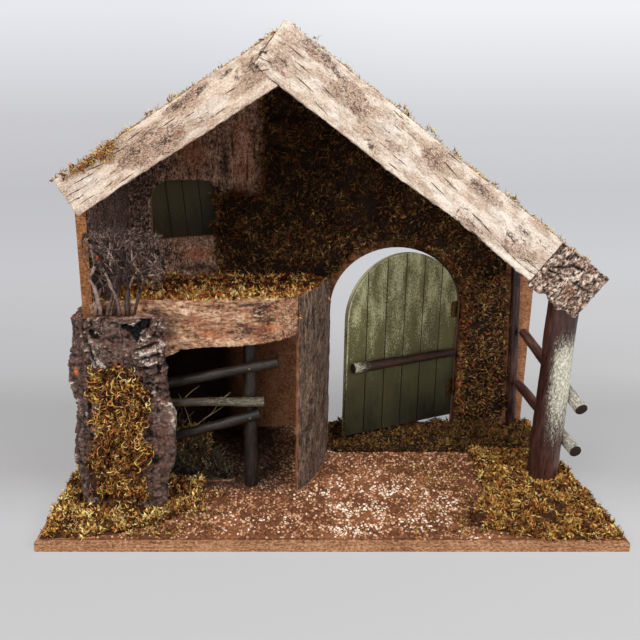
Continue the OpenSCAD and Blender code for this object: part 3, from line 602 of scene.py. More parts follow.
@dataclass(frozen=True)
class BranchBark(Finish):
    """Thin glossy bark of a branch, with pores and lichen."""

    dark: Colour
    body: Colour
    pale: Colour
    lichen: Colour = rgb(196, 202, 184)
    lichen_from: float = 0.84
    lichen_dull: Colour = rgb(168, 162, 144)
    gloss: float = 0.42

    def paint(self, coat: Coat) -> None:
        """Streaks along the branch, pores across it, lichen over both.

        Args:
            coat: The material that is built.
        """
        grain = coat.grain()
        streak = coat.noise(grain, (1.8, 1.8, 16), 5, 0.65)
        cloud = coat.noise(grain, (14, 14, 30), 3)
        colour = coat.ramp(
            streak * 0.6 + cloud * 0.4, [(0.38, self.dark), (0.5, self.body), (0.66, self.pale)]
        )
        pores = coat.noise(grain, (1.6, 1.6, 0.45), 2).step(0.66, 0.74)
        colour = coat.mix(pores * 0.35, colour, self.pale)
        crust = coat.noise(grain, (1.7, 1.7, 2.6), 2.5, 0.7)
        brush = coat.noise(grain, (0.8, 0.8, 3.6), 4, 0.8)
        lichen = coat.mark("lichen")
        mask = (brush * (lichen * 0.6 + 1.7) + lichen * 0.36).step(
            self.lichen_from + 0.32, self.lichen_from + 0.66
        )
        shade = coat.mix(crust.step(0.4, 0.62), self.lichen_dull, self.lichen)
        colour = coat.mix(mask * 0.92, colour, shade)
        rough = mask * 0.4 + streak * 0.2 + (self.gloss - 0.1)
        bumps = streak * 0.5 + mask * 0.5 + pores * 0.3 + brush * 0.3
        coat.finish(colour, rough, bumps, 0.35, specular=0.42)


@dataclass(frozen=True)
class CutWood(Finish):
    """The cut end of a branch."""

    pale: Colour
    dark: Colour

    def paint(self, coat: Coat) -> None:
        """Growth rings and dark mottling.

        Args:
            coat: The material that is built.
        """
        grain = coat.grain()
        flat = coat.stretched(grain, (1000, 1000, 1e9))
        away = coat.vector("LENGTH", flat, output="Value")
        rough = coat.noise(grain, 1.2, 4, 0.7)
        phase = away * 9000 + rough * 5
        rings = (phase.math("SINE", phase) + 1) * 0.5
        rings = rings.most(rough.step(0.5, 0.42))
        colour = coat.mix(rings * 0.5 + rough.step(0.5, 0.7) * 0.5, self.pale, self.dark)
        coat.finish(colour, 0.85, rough, 0.25, specular=0.2)


@dataclass(frozen=True)
class Moss(Finish):
    """Dried moss; each strand has its own tone and is dark at its root, partly its own colour and
    partly painted shade between the strands.
    """

    root_and_shade: Colour
    stops: tuple[Colour, ...]
    red: Colour
    red_share: float = 0.8
    patch_mm: float = 15

    def paint(self, coat: Coat) -> None:
        """Tone by strand and by patch, then the dark roots with painted shade, and rusty bits.

        Args:
            coat: The material that is built.
        """
        place = coat.coords()
        tone = coat.mark("tone")
        tip = coat.mark("tip")
        patch = coat.noise(place, self.patch_mm, 3, 0.6)
        blend = tone * 1.25 + (patch - 0.5) * 1.1 - 0.1
        steps = [(index / 3 * 0.9 + 0.05, colour) for index, colour in enumerate(self.stops)]
        colour = coat.ramp(blend, steps)
        rust = coat.noise(place, 6, 2).step(0.54, 0.6) * tone.step(0.35, 0.5) * self.red_share
        colour = coat.mix(rust.most(coat.mark("red")), colour, self.red)
        # Dark roots and cushion: partly the moss's own colour, partly painted shade between the
        # strands.
        colour = coat.mix(tip.step(0.42, 0.0), colour, self.root_and_shade)
        fine = coat.noise(place, 0.8, 2)
        coat.finish(colour, 0.85, fine, 0.2, specular=0.2)


@dataclass(frozen=True)
class Gravel(Finish):
    """Small brown and reddish stones with some white ones."""

    stops: tuple[tuple[float, Colour], ...] = (
        (0.0, rgb(84, 48, 28)),
        (0.3, rgb(150, 96, 62)),
        (0.58, rgb(192, 138, 98)),
        (0.8, rgb(222, 182, 148)),
        (0.95, rgb(248, 238, 222)),
    )

    def paint(self, coat: Coat) -> None:
        """A tone for each stone, paler in patches, with painted shade under the loft.

        Args:
            coat: The material that is built.
        """
        place = coat.coords()
        tone = coat.mark("tone")
        each = coat.noise(place, 2.4, 1)
        drift = coat.noise(place, 34, 2).step(0.5, 0.62)
        pale = coat.mark("pale") * 0.42 + drift * 0.14
        colour = coat.ramp(tone * 0.75 + (each - 0.5) * 0.5 + pale, self.stops)
        # Painted shade: the stones under the loft are darkened.
        under = place.axis(0).step(-0.012, -0.06) * place.axis(1).step(-0.05, -0.025)
        colour = coat.mix(under * 0.82, colour, rgb(22, 13, 9))
        fine = coat.noise(place, 0.7, 3)
        coat.finish(colour, 0.7, fine, 0.2, specular=0.35)


@dataclass(frozen=True)
class Straw(Finish):
    """Dry stems, in several tones."""

    dark: Colour = rgb(24, 15, 9)
    pale: Colour = rgb(196, 176, 130)

    def paint(self, coat: Coat) -> None:
        """A tone for each stem and streaks along it.

        Args:
            coat: The material that is built.
        """
        place = coat.coords()
        streak = coat.noise(place, 2.4, 3)
        colour = coat.mix(coat.mark("tone") * 0.95 + streak * 0.05, self.dark, self.pale)
        coat.finish(colour, 0.6, streak, 0.1, specular=0.35)


@dataclass(frozen=True)
class Twig(Finish):
    """Dry twigs, grey where they catch the light."""

    dark: Colour = rgb(30, 20, 17)
    body: Colour = rgb(78, 56, 49)
    pale: Colour = rgb(172, 146, 132)

    def paint(self, coat: Coat) -> None:
        """Mottled bark.

        Args:
            coat: The material that is built.
        """
        place = coat.coords()
        mottle = coat.noise(place, 2.2, 4, 0.7)
        tone = coat.mark("tone")
        stops = [(0.3, self.dark), (0.5, self.body), (0.8, self.pale)]
        colour = coat.ramp(mottle * 0.6 + tone * 0.4, stops)
        leaf = coat.mark("leaf")
        colour = coat.mix(leaf, colour, rgb(190, 82, 42))
        coat.finish(colour, 0.6, mottle, 0.3, specular=0.4)


@dataclass(frozen=True)
class GreenPaint(Finish):
    """Green paint on planks, brushed over with a paler tone, mostly high up and along the left rim
    of the arch, and darker towards the foot as painted shade.
    """

    body: Colour = rgb(112, 107, 62)
    shade: Colour = rgb(25, 23, 13)
    brushed: Colour = rgb(222, 220, 174)
    groove: Colour = rgb(26, 24, 14)
    turn: float = 0.0
    pivot: Point = (0.0, 0.0, 0.0)
    groove_depth_mm: float = 111.35
    foot_mm: float = 14
    head_mm: float = 190
    brush_share: float = 0.8

    def paint(self, coat: Coat) -> None:
        """Streaks along the planks, painted shade towards the foot, dark grooves, dry strokes.

        Args:
            coat: The material that is built.
        """
        place = coat.coords()
        turned = coat.turned(coat.vector("SUBTRACT", place, self.pivot), -self.turn)
        streak = coat.noise(turned, (2.2, 2.2, 26), 5, 0.65)
        cloud = coat.noise(turned, (34, 34, 50), 3)
        # Darker towards the foot: painted shade.
        height = place.axis(2).step(self.foot_mm * MM, self.head_mm * MM)
        colour = coat.mix(
            streak * 0.35 + height * 0.8 + (cloud - 0.5) * 0.5 - 0.14, self.shade, self.body
        )
        dry = coat.noise(turned, (1.1, 1.1, 2.6), 5, 0.85)
        soft = coat.noise(turned, (13, 13, 46), 3, 0.6)
        across = (turned.axis(0) + 0.0714) / 0.0715
        above = ((place.axis(2) - ARCH_Z) / 0.068).most(0)
        rim = (across * across + above * above).step(0.9, 0.99) * across.step(0.2, -0.4)
        mask = dry * 1.5 + soft * 0.8 + height * 0.45 + rim * 0.28
        mask = mask.step(1.5, 1.76) * self.brush_share
        colour = coat.mix(mask, colour, self.brushed)
        depth = turned.axis(1) + self.pivot[1]
        inside = depth.step((self.groove_depth_mm - 0.25) * MM, self.groove_depth_mm * MM)
        thick = depth.step((self.groove_depth_mm + 0.9) * MM, (self.groove_depth_mm + 0.7) * MM)
        colour = coat.mix(inside * thick, colour, self.groove)
        coat.finish(colour, 0.5 + mask * 0.2, streak * 0.6 + mask * 0.5, 0.25, specular=0.4)


@dataclass(frozen=True)
class Metal(Finish):
    """Brass or steel with a dull, uneven gloss."""

    body: Colour
    dull: Colour

    def paint(self, coat: Coat) -> None:
        """Tarnish in clouds.

        Args:
            coat: The material that is built.
        """
        place = coat.coords()
        cloud = coat.noise(place, 2.5, 4)
        colour = coat.mix(cloud.step(0.45, 0.7), self.body, self.dull)
        coat.finish(colour, 0.3 + cloud * 0.3, cloud, 0.05, metallic=1.0, specular=0.5)


BOARD = Softboard("board")
BOARD_PLAIN = Softboard(
    "board_plain", rgb(84, 50, 28), rgb(144, 94, 58), rgb(182, 130, 86), flat=False,
)
BOARD_WALL = Softboard(
    "board_wall", rgb(96, 58, 38), rgb(154, 104, 72), rgb(184, 134, 96), flat=False, shade_painted=True,
)
BIRCH = BirchBark("birch_right")
BIRCH_BROWN = BirchBark("birch_left", rgb(218, 198, 178), rgb(188, 158, 134), rgb(192, 160, 136))
SCAR = Scar("scar")
PIER_BARK = FurrowedBark(
    "pier_bark", rgb(22, 14, 12), rgb(98, 74, 64), rgb(146, 120, 106), rgb(232, 226, 214),
    rgb(122, 72, 54), red_share=0.3, bright=rgb(142, 116, 104), speckle=0.42, crumb=2.1,
    crack=(7, 4, 5), cracked=0.8, crust=(3.6, 1.0, 1.8),
)
END_BARK = FurrowedBark(
    "end_bark", rgb(34, 22, 17), rgb(142, 112, 94), rgb(222, 196, 176), rgb(252, 244, 238),
    rgb(150, 92, 66), lichen_from=0.68, red_share=0.2, size=(1.0, 2.4, 1.6),
    bright=rgb(240, 224, 210), speckle=1.0, crumb=1.4, even=0.55, gain=2.4, crack=(2.6, 9, 5),
    cracked=0.95,
)
APRON_BARK = FurrowedBark(
    "apron_bark", rgb(80, 48, 32), rgb(164, 120, 88), rgb(204, 166, 132), rgb(228, 206, 178),
    rgb(164, 96, 66), lichen_from=0.69, red_share=0.5, size=(2.2, 0.9, 1.6),
    bright=rgb(214, 180, 150), speckle=0.55, even=0.6, gain=2.4, crack=(16, 2.6, 5), cracked=0.85,
)
SLAB_BARK = FurrowedBark(
    "slab_bark", rgb(44, 31, 25), rgb(98, 78, 64), rgb(146, 124, 106), rgb(176, 160, 142),
    rgb(116, 78, 58), lichen_from=0.74, red_share=0.3, size=(0.9, 1.8, 1.6),
    bright=rgb(156, 132, 112), crumb=1.6, speckle=0.6, gain=2.6, crack=(2.6, 16, 5), cracked=0.9,
)
WALL_BARK = FurrowedBark(
    "wall_bark", rgb(36, 23, 17), rgb(172, 122, 94), rgb(226, 188, 162), rgb(248, 234, 220),
    rgb(158, 94, 66), lichen_from=0.68, red_share=0.4, size=(0.8, 1.4, 2.4), flecks=1.0,
    bright=rgb(250, 218, 196), speckle=0.85, even=0.4, gain=2.8, crumb=1.4, crack=(2.4, 9, 15),
    cracked=0.95,
)
SIDE_BARK = FurrowedBark(
    "side_bark", rgb(20, 13, 11), rgb(74, 52, 44), rgb(120, 92, 78), lichen_from=0.7, flecks=1.0,
    bright=rgb(150, 120, 106), speckle=0.9, crack=(6, 3, 12), gain=2.6,
)
POST_BARK = BranchBark(
    "post_bark", rgb(44, 24, 21), rgb(66, 37, 32), rgb(98, 64, 54), rgb(226, 224, 206), gloss=0.3,
)
RAIL_BARK = BranchBark(
    "rail_bark", rgb(44, 26, 22), rgb(80, 48, 40), rgb(124, 92, 80), rgb(232, 226, 214), gloss=0.36,
)
# A near-black copy of the branch bark for the stall under the loft: the stall's shade painted in.
STALL_BARK_SHADED = BranchBark(
    "stall_bark", rgb(9, 6, 4), rgb(22, 14, 9), rgb(54, 38, 28), rgb(96, 90, 72), 0.66, gloss=0.5,
)
PALE_RAIL = BranchBark(
    "pale_rail_bark", rgb(30, 24, 18), rgb(62, 52, 40), rgb(112, 100, 74), rgb(158, 154, 118),
)
BACK_BARK = BranchBark(
    "back_bark", rgb(26, 14, 13), rgb(50, 28, 24), rgb(92, 64, 56), gloss=0.2,
)
BAR_BARK = BranchBark(
    "bar_bark", rgb(18, 8, 4), rgb(38, 17, 7), rgb(84, 42, 22), rgb(206, 206, 180), gloss=0.6,
)
CUT = CutWood("cut_wood", rgb(54, 40, 33), rgb(12, 8, 7))
MOSS_LIT = Moss(
    "moss_lit", rgb(34, 18, 10),
    (rgb(94, 48, 24), rgb(182, 122, 58), rgb(234, 194, 100), rgb(254, 234, 164)), rgb(212, 100, 56),
)
MOSS_PIER = Moss(
    "moss_pier", rgb(22, 13, 8),
    (rgb(90, 48, 28), rgb(180, 116, 56), rgb(242, 202, 98), rgb(254, 238, 168)), rgb(220, 100, 56),
    0.85, 16,
)
MOSS_LOFT = Moss(
    "moss_loft", rgb(26, 14, 8),
    (rgb(104, 46, 24), rgb(186, 108, 48), rgb(232, 180, 82), rgb(252, 226, 156)), rgb(208, 88, 44),
    1.0, 18,
)
MOSS_ROOF = Moss(
    "moss_roof", rgb(40, 22, 12),
    (rgb(130, 66, 32), rgb(190, 132, 54), rgb(230, 196, 90), rgb(248, 226, 148)), rgb(200, 88, 40),
    0.8, 12,
)
# A darker copy of the moss palette for the back wall under the roof: partly its own browner tone,
# partly painted shade.
MOSS_WALL_SHADED = Moss(
    "moss_wall_shaded", rgb(14, 9, 6),
    (rgb(50, 28, 16), rgb(104, 66, 36), rgb(160, 120, 68), rgb(206, 164, 104)), rgb(170, 62, 40),
    0.7, 26,
)
# A darker copy of the ground moss for the back under the roof, with the shade there painted in.
MOSS_BACK_SHADED = Moss(
    "moss_back", rgb(20, 12, 8),
    (rgb(64, 38, 20), rgb(98, 68, 34), rgb(132, 102, 50), rgb(148, 106, 58)), rgb(150, 70, 40), 0.6,
    20,
)
GRAVEL = Gravel("gravel")
STRAW = Straw("hay")
TWIG = Twig("twig")
BRASS = Metal("brass", rgb(112, 84, 52), rgb(58, 42, 28))
STEEL = Metal("steel", rgb(150, 148, 144), rgb(86, 80, 76))


# ---------------------------------------------------------------- making pieces


def release(bm: BMesh, name: str) -> Mesh:
    """Turn a bmesh into a mesh and free it.

    Args:
        bm: The bmesh.
        name: Name of the mesh.

    Returns:
        The mesh.
    """
    mesh = bpy.data.meshes.new(name)
    bm.to_mesh(mesh)
    bm.free()
    return mesh


def placed(name: str, data: ID) -> Object:
    """A new object in the scene that shows this data.

    Args:
        name: Its name.
        data: A mesh, a lamp or a camera.

    Returns:
        The object, unturned and unscaled at the origin.
    """
    obj = bpy.data.objects.new(name, data)
    bpy.context.scene.collection.objects.link(obj)
    return obj


def layer(bm: BMesh, name: str) -> BMLayerItem:
    """A new number at every point of a mesh; a finish reads it by its name."""
    return bm.verts.layers.float.new(name)


def piece(
    name: str,
    mesh: Mesh,
    finishes: Sequence[Finish],
    replaced: Iterable[str] = (),
    body: str = "stable",
    soft: bool = True,
) -> None:
    """Place a finished mesh in the scene as a piece of the stable.

    Args:
        name: Name of the piece.
        mesh: Its mesh, in the frame of the solids.
        finishes: One finish for each material index of the mesh.
        replaced: Solids that it stands for.
        body: The body that it moves with.
        soft: Whether its faces are shaded smooth.
    """
    obj = placed(name, mesh)
    for finish in finishes:
        mesh.materials.append(finish.material())
    if soft:
        mesh.polygons.foreach_set("use_smooth", [True] * len(mesh.polygons))
    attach(obj, body)
    names = list(replaced)
    if names:
        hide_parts(*names)
    LOG.info("%s: %d faces", name, len(mesh.polygons))


def dress(node: str, finish: Finish) -> None:
    """Give a solid that stays its finish.

    Args:
        node: The solid.
        finish: Its finish.
    """
    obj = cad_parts[node]
    material = finish.material()
    if not obj.material_slots:
        obj.data.materials.append(material)
    for place in obj.material_slots:
        place.material = material
    LOG.info("%s: dressed", node)


def shell_of(node: str, voxel_mm: float) -> BMesh:
    """An even, finely divided copy of a solid.

    Args:
        node: The solid.
        voxel_mm: Length of the new edges.

    Returns:
        The copy, with its normals up to date.
    """
    merged = bmesh.new()
    merged.from_mesh(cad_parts[node].data)
    bmesh.ops.remove_doubles(merged, verts=merged.verts, dist=0.002 * MM)
    source = placed("even_" + node, release(merged, "even_" + node))
    modifier = source.modifiers.new("even", "REMESH")
    modifier.mode = "VOXEL"
    modifier.voxel_size = voxel_mm * MM
    even = source.evaluated_get(bpy.context.evaluated_depsgraph_get())
    bm = bmesh.new()
    bm.from_mesh(even.to_mesh())
    even.to_mesh_clear()
    data = source.data
    bpy.data.objects.remove(source)
    bpy.data.meshes.remove(data)
    bm.normal_update()
    return bm


@dataclass
class Marks:
    """What a relief gives for one point of a bark piece."""

    lift_mm: float
    high: float = 0.5
    rough: float = 0.5
    # Dark marks: the dark of knots and scars, and painted shade in holes and crevices.
    dark: float = 0.0
    pale: float = 0.0
    red: float = 0.0


@dataclass(frozen=True)
class Spot:
    """One feature of a bark piece: an oval place and what it does there."""

    along_mm: float
    across_mm: float
    long_mm: float
    wide_mm: float
    lift_mm: float = 0.0
    dark: float = 0.0
    pale: float = 0.0
    soft: float = 0.5
    turn: float = 0.0
    rough: float = 0.0
    red: float = 0.0

    def mark(self, local: Vector, marks: Marks) -> None:
        """Add the feature to the marks of a point.

        Args:
            local: The point, along and across the piece.
            marks: Its marks, which are changed.
        """
        along, across = local.x / MM - self.along_mm, local.y / MM - self.across_mm
        angle = radians(self.turn)
        first = (along * cos(angle) + across * sin(angle)) / self.long_mm
        second = (across * cos(angle) - along * sin(angle)) / self.wide_mm
        away = hypot(first, second)
        if away > 1.6:
            return
        away += fbm(local, 5, 3) * 0.3
        share = smooth(away, 1.0, 1.0 - self.soft)
        marks.lift_mm += self.lift_mm * share
        marks.rough += self.rough * share
        marks.dark = max(marks.dark * (1 - self.pale * share), self.dark * share)
        marks.pale = max(marks.pale * (1 - self.dark * share), self.pale * share)
        marks.red = max(marks.red, self.red * share)


def ovals(*rows: tuple[float, ...]) -> tuple[Spot, ...]:
    """Features from rows of numbers in the order of Spot; the last ones may be left out."""
    return tuple(Spot(*row) for row in rows)


def apply(spots: Iterable[Spot], along: float, across: float, marks: Marks) -> Marks:
    """Add features to the marks of a point, later ones over earlier ones.

    Args:
        spots: The features.
        along: Place of the point along the piece, in metres.
        across: Its place across.
        marks: Its marks, which are changed.

    Returns:
        The same marks.
    """
    local = Vector((along, across, 0))
    for spot in spots:
        spot.mark(local, marks)
    return marks


def weather(
    node: str,
    voxel_mm: float,
    grain_of: Callable[[Vector], Vector],
    relief: Callable[[Vector, Vector], Marks],
    face: Vector | None = None,
) -> Mesh:
    """Shape the bark of a solid.

    Args:
        node: The solid.
        voxel_mm: Length of the edges of the new mesh.
        grain_of: Turns a place into coordinates along the fibre, across it and through it.
        relief: Gives the lift along the normal and the marks from these coordinates and the normal.
        face: Direction of the face that shows bark; what looks elsewhere is rim.

    Returns:
        The mesh.
    """
    bm = shell_of(node, voxel_mm)
    grain = bm.verts.layers.float_vector.new("grain")
    names = ("high", "rough", "dark", "pale", "red")
    floats = [layer(bm, key) for key in names]
    rim = layer(bm, "rim")
    moves = []
    for vert in bm.verts:
        local = grain_of(vert.co)
        marks = relief(local, vert.normal)
        vert[grain] = local
        for key, number in zip(names, floats):
            vert[number] = getattr(marks, key)
        if face is not None:
            vert[rim] = 1 - smooth(vert.normal.dot(face), 0.3, 0.8)
        moves.append((vert, vert.co + vert.normal * marks.lift_mm * MM))
    for vert, place in moves:
        vert.co = place
    return release(bm, node)


class Stamps:
    """Collects many small meshes into one."""

    def __init__(self, seed: int) -> None:
        """Start empty, with its own random numbers."""
        self.bm = bmesh.new()
        self.random = random.Random(seed)

    def add(self, mesh: Mesh, matrix: Matrix = Matrix.Identity(4)) -> None:
        """Add a copy of a mesh, moved by a matrix.

        Args:
            mesh: The mesh.
            matrix: Where it goes; without it the mesh stays where it is.
        """
        copy = mesh.copy()
        copy.transform(matrix)
        self.bm.from_mesh(copy)
        bpy.data.meshes.remove(copy)

    def over(
        self,
        base: Mesh,
        variants: Sequence[Mesh],
        count: int,
        weight: Callable[[Vector, Vector], float],
        size: tuple[float, float] = (0.7, 1.3),
        sink_mm: float = 0.5,
    ) -> None:
        """Scatter variants over a mesh, standing along its normals.

        Args:
            base: The mesh that carries them.
            variants: Meshes to choose from, standing on the origin along Z.
            count: How many are placed.
            weight: Share of 0 to 1 for a place and its normal; 0 leaves the place bare.
            size: Smallest and largest scale.
            sink_mm: How far each is sunk into the base.
        """
        base.calc_loop_triangles()
        corners, totals, total = [], [], 0.0
        for tri in base.loop_triangles:
            places = [base.vertices[index].co for index in tri.vertices]
            middle = (places[0] + places[1] + places[2]) / 3
            share = weight(middle, tri.normal)
            if share > 0:
                total += tri.area * share
                corners.append((places, tri.normal.copy()))
                totals.append(total)
        picks = self.random.choices(corners, cum_weights=totals, k=count)
        for places, normal in picks:
            first, second = self.random.random(), self.random.random()
            if first + second > 1:
                first, second = 1 - first, 1 - second
            spot = places[0] + (places[1] - places[0]) * first + (places[2] - places[0]) * second
            turn = UP.rotation_difference(normal).to_matrix().to_4x4()
            spin = Matrix.Rotation(self.random.uniform(0, tau), 4, "Z")
            scale = Matrix.Scale(self.random.uniform(*size), 4)
            place = Matrix.Translation(spot - normal * sink_mm * MM)
            self.add(self.random.choice(variants), place @ turn @ spin @ scale)

    def mesh(self, name: str) -> Mesh:
        """The collected mesh."""
        return release(self.bm, name)


def tube(
    points: Sequence[Vector], radii: Sequence[float], sides: int, tone: float, flat: float = 1.0
) -> Mesh:
    """A thin closed stem along points.

    Args:
        points: The middle line.
        radii: A radius for each point; the last may be 0 for a tip.
        sides: Number of sides.
        tone: Number from 0 to 1 that its finish reads.
        flat: Thickness across beside the width.

    Returns:
        A mesh with the marks tone and tip.
    """
    bm = bmesh.new()
    tones, tips = layer(bm, "tone"), layer(bm, "tip")
    first = bmesh.ops.create_circle(bm, cap_ends=True, radius=1.0, segments=sides)["verts"]
    ring = sorted(first, key=lambda vert: vert.index)
    edges = [edge for edge in bm.edges]
    rings = [ring]
    for _ in points[1:]:
        made = bmesh.ops.extrude_edge_only(bm, edges=edges)["geom"]
        ring = [item for item in made if isinstance(item, BMVert)]
        edges = [item for item in made if isinstance(item, BMEdge)]
        rings.append(ring)
    bm.verts.index_update()
    bm.verts.ensure_lookup_table()
    for index, (middle, radius) in enumerate(zip(points, radii)):
        before, after = points[max(index - 1, 0)], points[min(index + 1, len(points) - 1)]
        turn = UP.rotation_difference(after - before)
        for side in range(sides):
            angle = tau * side / sides
            across = Vector((cos(angle), flat * sin(angle), 0)) * radius
            vert = bm.verts[index * sides + side]
            vert.co = middle + turn @ across
            vert[tones] = tone
            vert[tips] = index / (len(points) - 1)
    if radii[-1] == 0:
        last = [bm.verts[(len(points) - 1) * sides + side] for side in range(sides)]
        bmesh.ops.pointmerge(bm, verts=last, merge_co=points[-1])
    else:
        bmesh.ops.holes_fill(bm, edges=[edge for edge in bm.edges if edge.is_boundary])
    bmesh.ops.recalc_face_normals(bm, faces=bm.faces)
    return release(bm, "tube")


@dataclass(frozen=True)
class TuftShape:
    """The form of a clump of moss."""

    blades: int = 7
    length_mm: float = 6.5
    width_mm: float = 0.8
    lean: float = 1.3
    curl: float = 0.8
    flat: float = 0.6
    steps: int = 2
    spread_mm: float = 1.6

    def variants(self, seed: int, count: int = 14) -> list[Mesh]:
        """Several different clumps."""
        draw = random.Random(seed)
        return [self.clump(draw) for _ in range(count)]

    def clump(self, draw: random.Random) -> Mesh:
        """One clump of curved blades, most of them of nearly one tone.

        Args:
            draw: Random numbers.

        Returns:
            The clump, standing on the origin.
        """
        stamps = Stamps(draw.randrange(10**6))
        shade = draw.random()
        for _ in range(self.blades):
            length = self.length_mm * MM * draw.uniform(0.5, 1.15) / self.steps
            heading = Matrix.Rotation(draw.uniform(0, tau), 3, "Z")
            slope = draw.uniform(0.15, 1.0) * self.lean
            bend = draw.choice((-1, 1, 1)) * draw.uniform(0.4, 1.1) * self.curl
            twist = draw.uniform(-0.7, 0.7) * self.curl
            off = self.spread_mm * MM
            spot = heading @ Vector((draw.uniform(0, off), draw.uniform(-off, off), 0))
            points = [spot]
            for index in range(self.steps):
                angle = slope + bend * index
                side = sin(twist * (index + 0.5))
                way = Vector((sin(angle), side, cos(angle))).normalized()
                spot = spot + heading @ way * length
                points.append(spot)
            radius = self.width_mm * MM / 2 * draw.uniform(0.7, 1.25)
            radii = [radius * 0.7] + [radius] * (self.steps - 1) + [0]
            tone = clamp(shade * 0.6 + draw.random() * 0.4)
            stamps.add(tube(points, radii, 3, tone, self.flat))
        return stamps.mesh("clump")


@dataclass(frozen=True)
class Sprig:
    """A single clump that stands out of a bed: its place, direction and scale."""

    place_mm: Point
    way: Point
    scale: float = 1.0
    red: float = 0.0


@dataclass
class MossBed:
    """One bed of moss: a lumpy cushion with clumps all over it."""

    node: str
    finish: Finish
    count: int
    up: Vector
    shape: TuftShape = field(default_factory=TuftShape)
    voxel_mm: float = 2.6
    lump_mm: float = 2.6
    thin: Callable[[Vector], float] | None = None
    density: Callable[[Vector], float] | None = None
    seed: int = 1
    reach: float = -0.15
    size: tuple[float, float] = (0.6, 1.35)
    sprigs: Sequence[Sprig] = ()
    tidy: Callable[[Vector], Vector] | None = None

    @property
    def name(self) -> str:
        """Name of the piece."""
        return self.node + "_bed"

    def cushion(self) -> Mesh:
        """The lumpy body under the clumps.

        Returns:
            The body, with the marks tone and tip.
        """
        bm = shell_of(self.node, self.voxel_mm)
        tones, tips = layer(bm, "tone"), layer(bm, "tip")
        low = min(vert.co.dot(self.up) for vert in bm.verts)
        shift = Vector((0.31, 0.17, 0.53)) * self.seed
        moves = []
        for vert in bm.verts:
            place = vert.co + shift
            lump = fbm(place, 16, 2) * self.lump_mm + fbm(place, 6, 3) * self.lump_mm * 0.6
            facing = smooth(vert.normal.dot(self.up), -0.6, 0.2)
            place = vert.co + vert.normal * (lump - self.lump_mm * 0.7) * MM * facing
            above = place.dot(self.up) - low
            if self.thin is not None and above > 0:
                place = place - self.up * above * (1 - self.thin(vert.co))
            vert[tones] = 0.2 + 0.2 * fbm(vert.co, 4, 2)
            vert[tips] = 0.12
            moves.append((vert, place))
        for vert, place in moves:
            vert.co = place
        bm.normal_update()
        return release(bm, self.name)

    def build(self) -> None:
        """The whole bed as one piece."""
        base = self.cushion()
        stamps = Stamps(self.seed)
        stamps.bm.from_mesh(base)
        clumps = self.shape.variants(self.seed)

        def weight(place: Vector, normal: Vector) -> float:
            """Clumps everywhere but underneath and where the bed is bare."""
            share = smooth(normal.dot(self.up), self.reach, self.reach + 0.3)
            return share * (self.density(place) if self.density is not None else 1.0)

        stamps.over(base, clumps, self.count, weight, self.size)
        bpy.data.meshes.remove(base)
        red = layer(stamps.bm, "red")
        for sprig in self.sprigs:
            turn = UP.rotation_difference(Vector(sprig.way)).to_matrix().to_4x4()
            spin = Matrix.Rotation(stamps.random.uniform(0, tau), 4, "Z")
            place = Matrix.Translation(Vector(sprig.place_mm) * MM)
            scale = Matrix.Scale(sprig.scale, 4)
            known = len(stamps.bm.verts)
            stamps.add(stamps.random.choice(clumps), place @ turn @ spin @ scale)
            if sprig.red:
                stamps.bm.verts.ensure_lookup_table()
                for vert in stamps.bm.verts[known:]:
                    vert[red] = sprig.red
        if self.tidy is not None:
            for vert in stamps.bm.verts:
                vert.co = self.tidy(vert.co)
        piece(self.name, stamps.mesh(self.name), [self.finish], [self.node])


@dataclass
class Knot:
    """A bump on a branch: height along it, direction round it, its size and its lift."""

    along_mm: float
    round_deg: float
    size_mm: float
    lift_mm: float


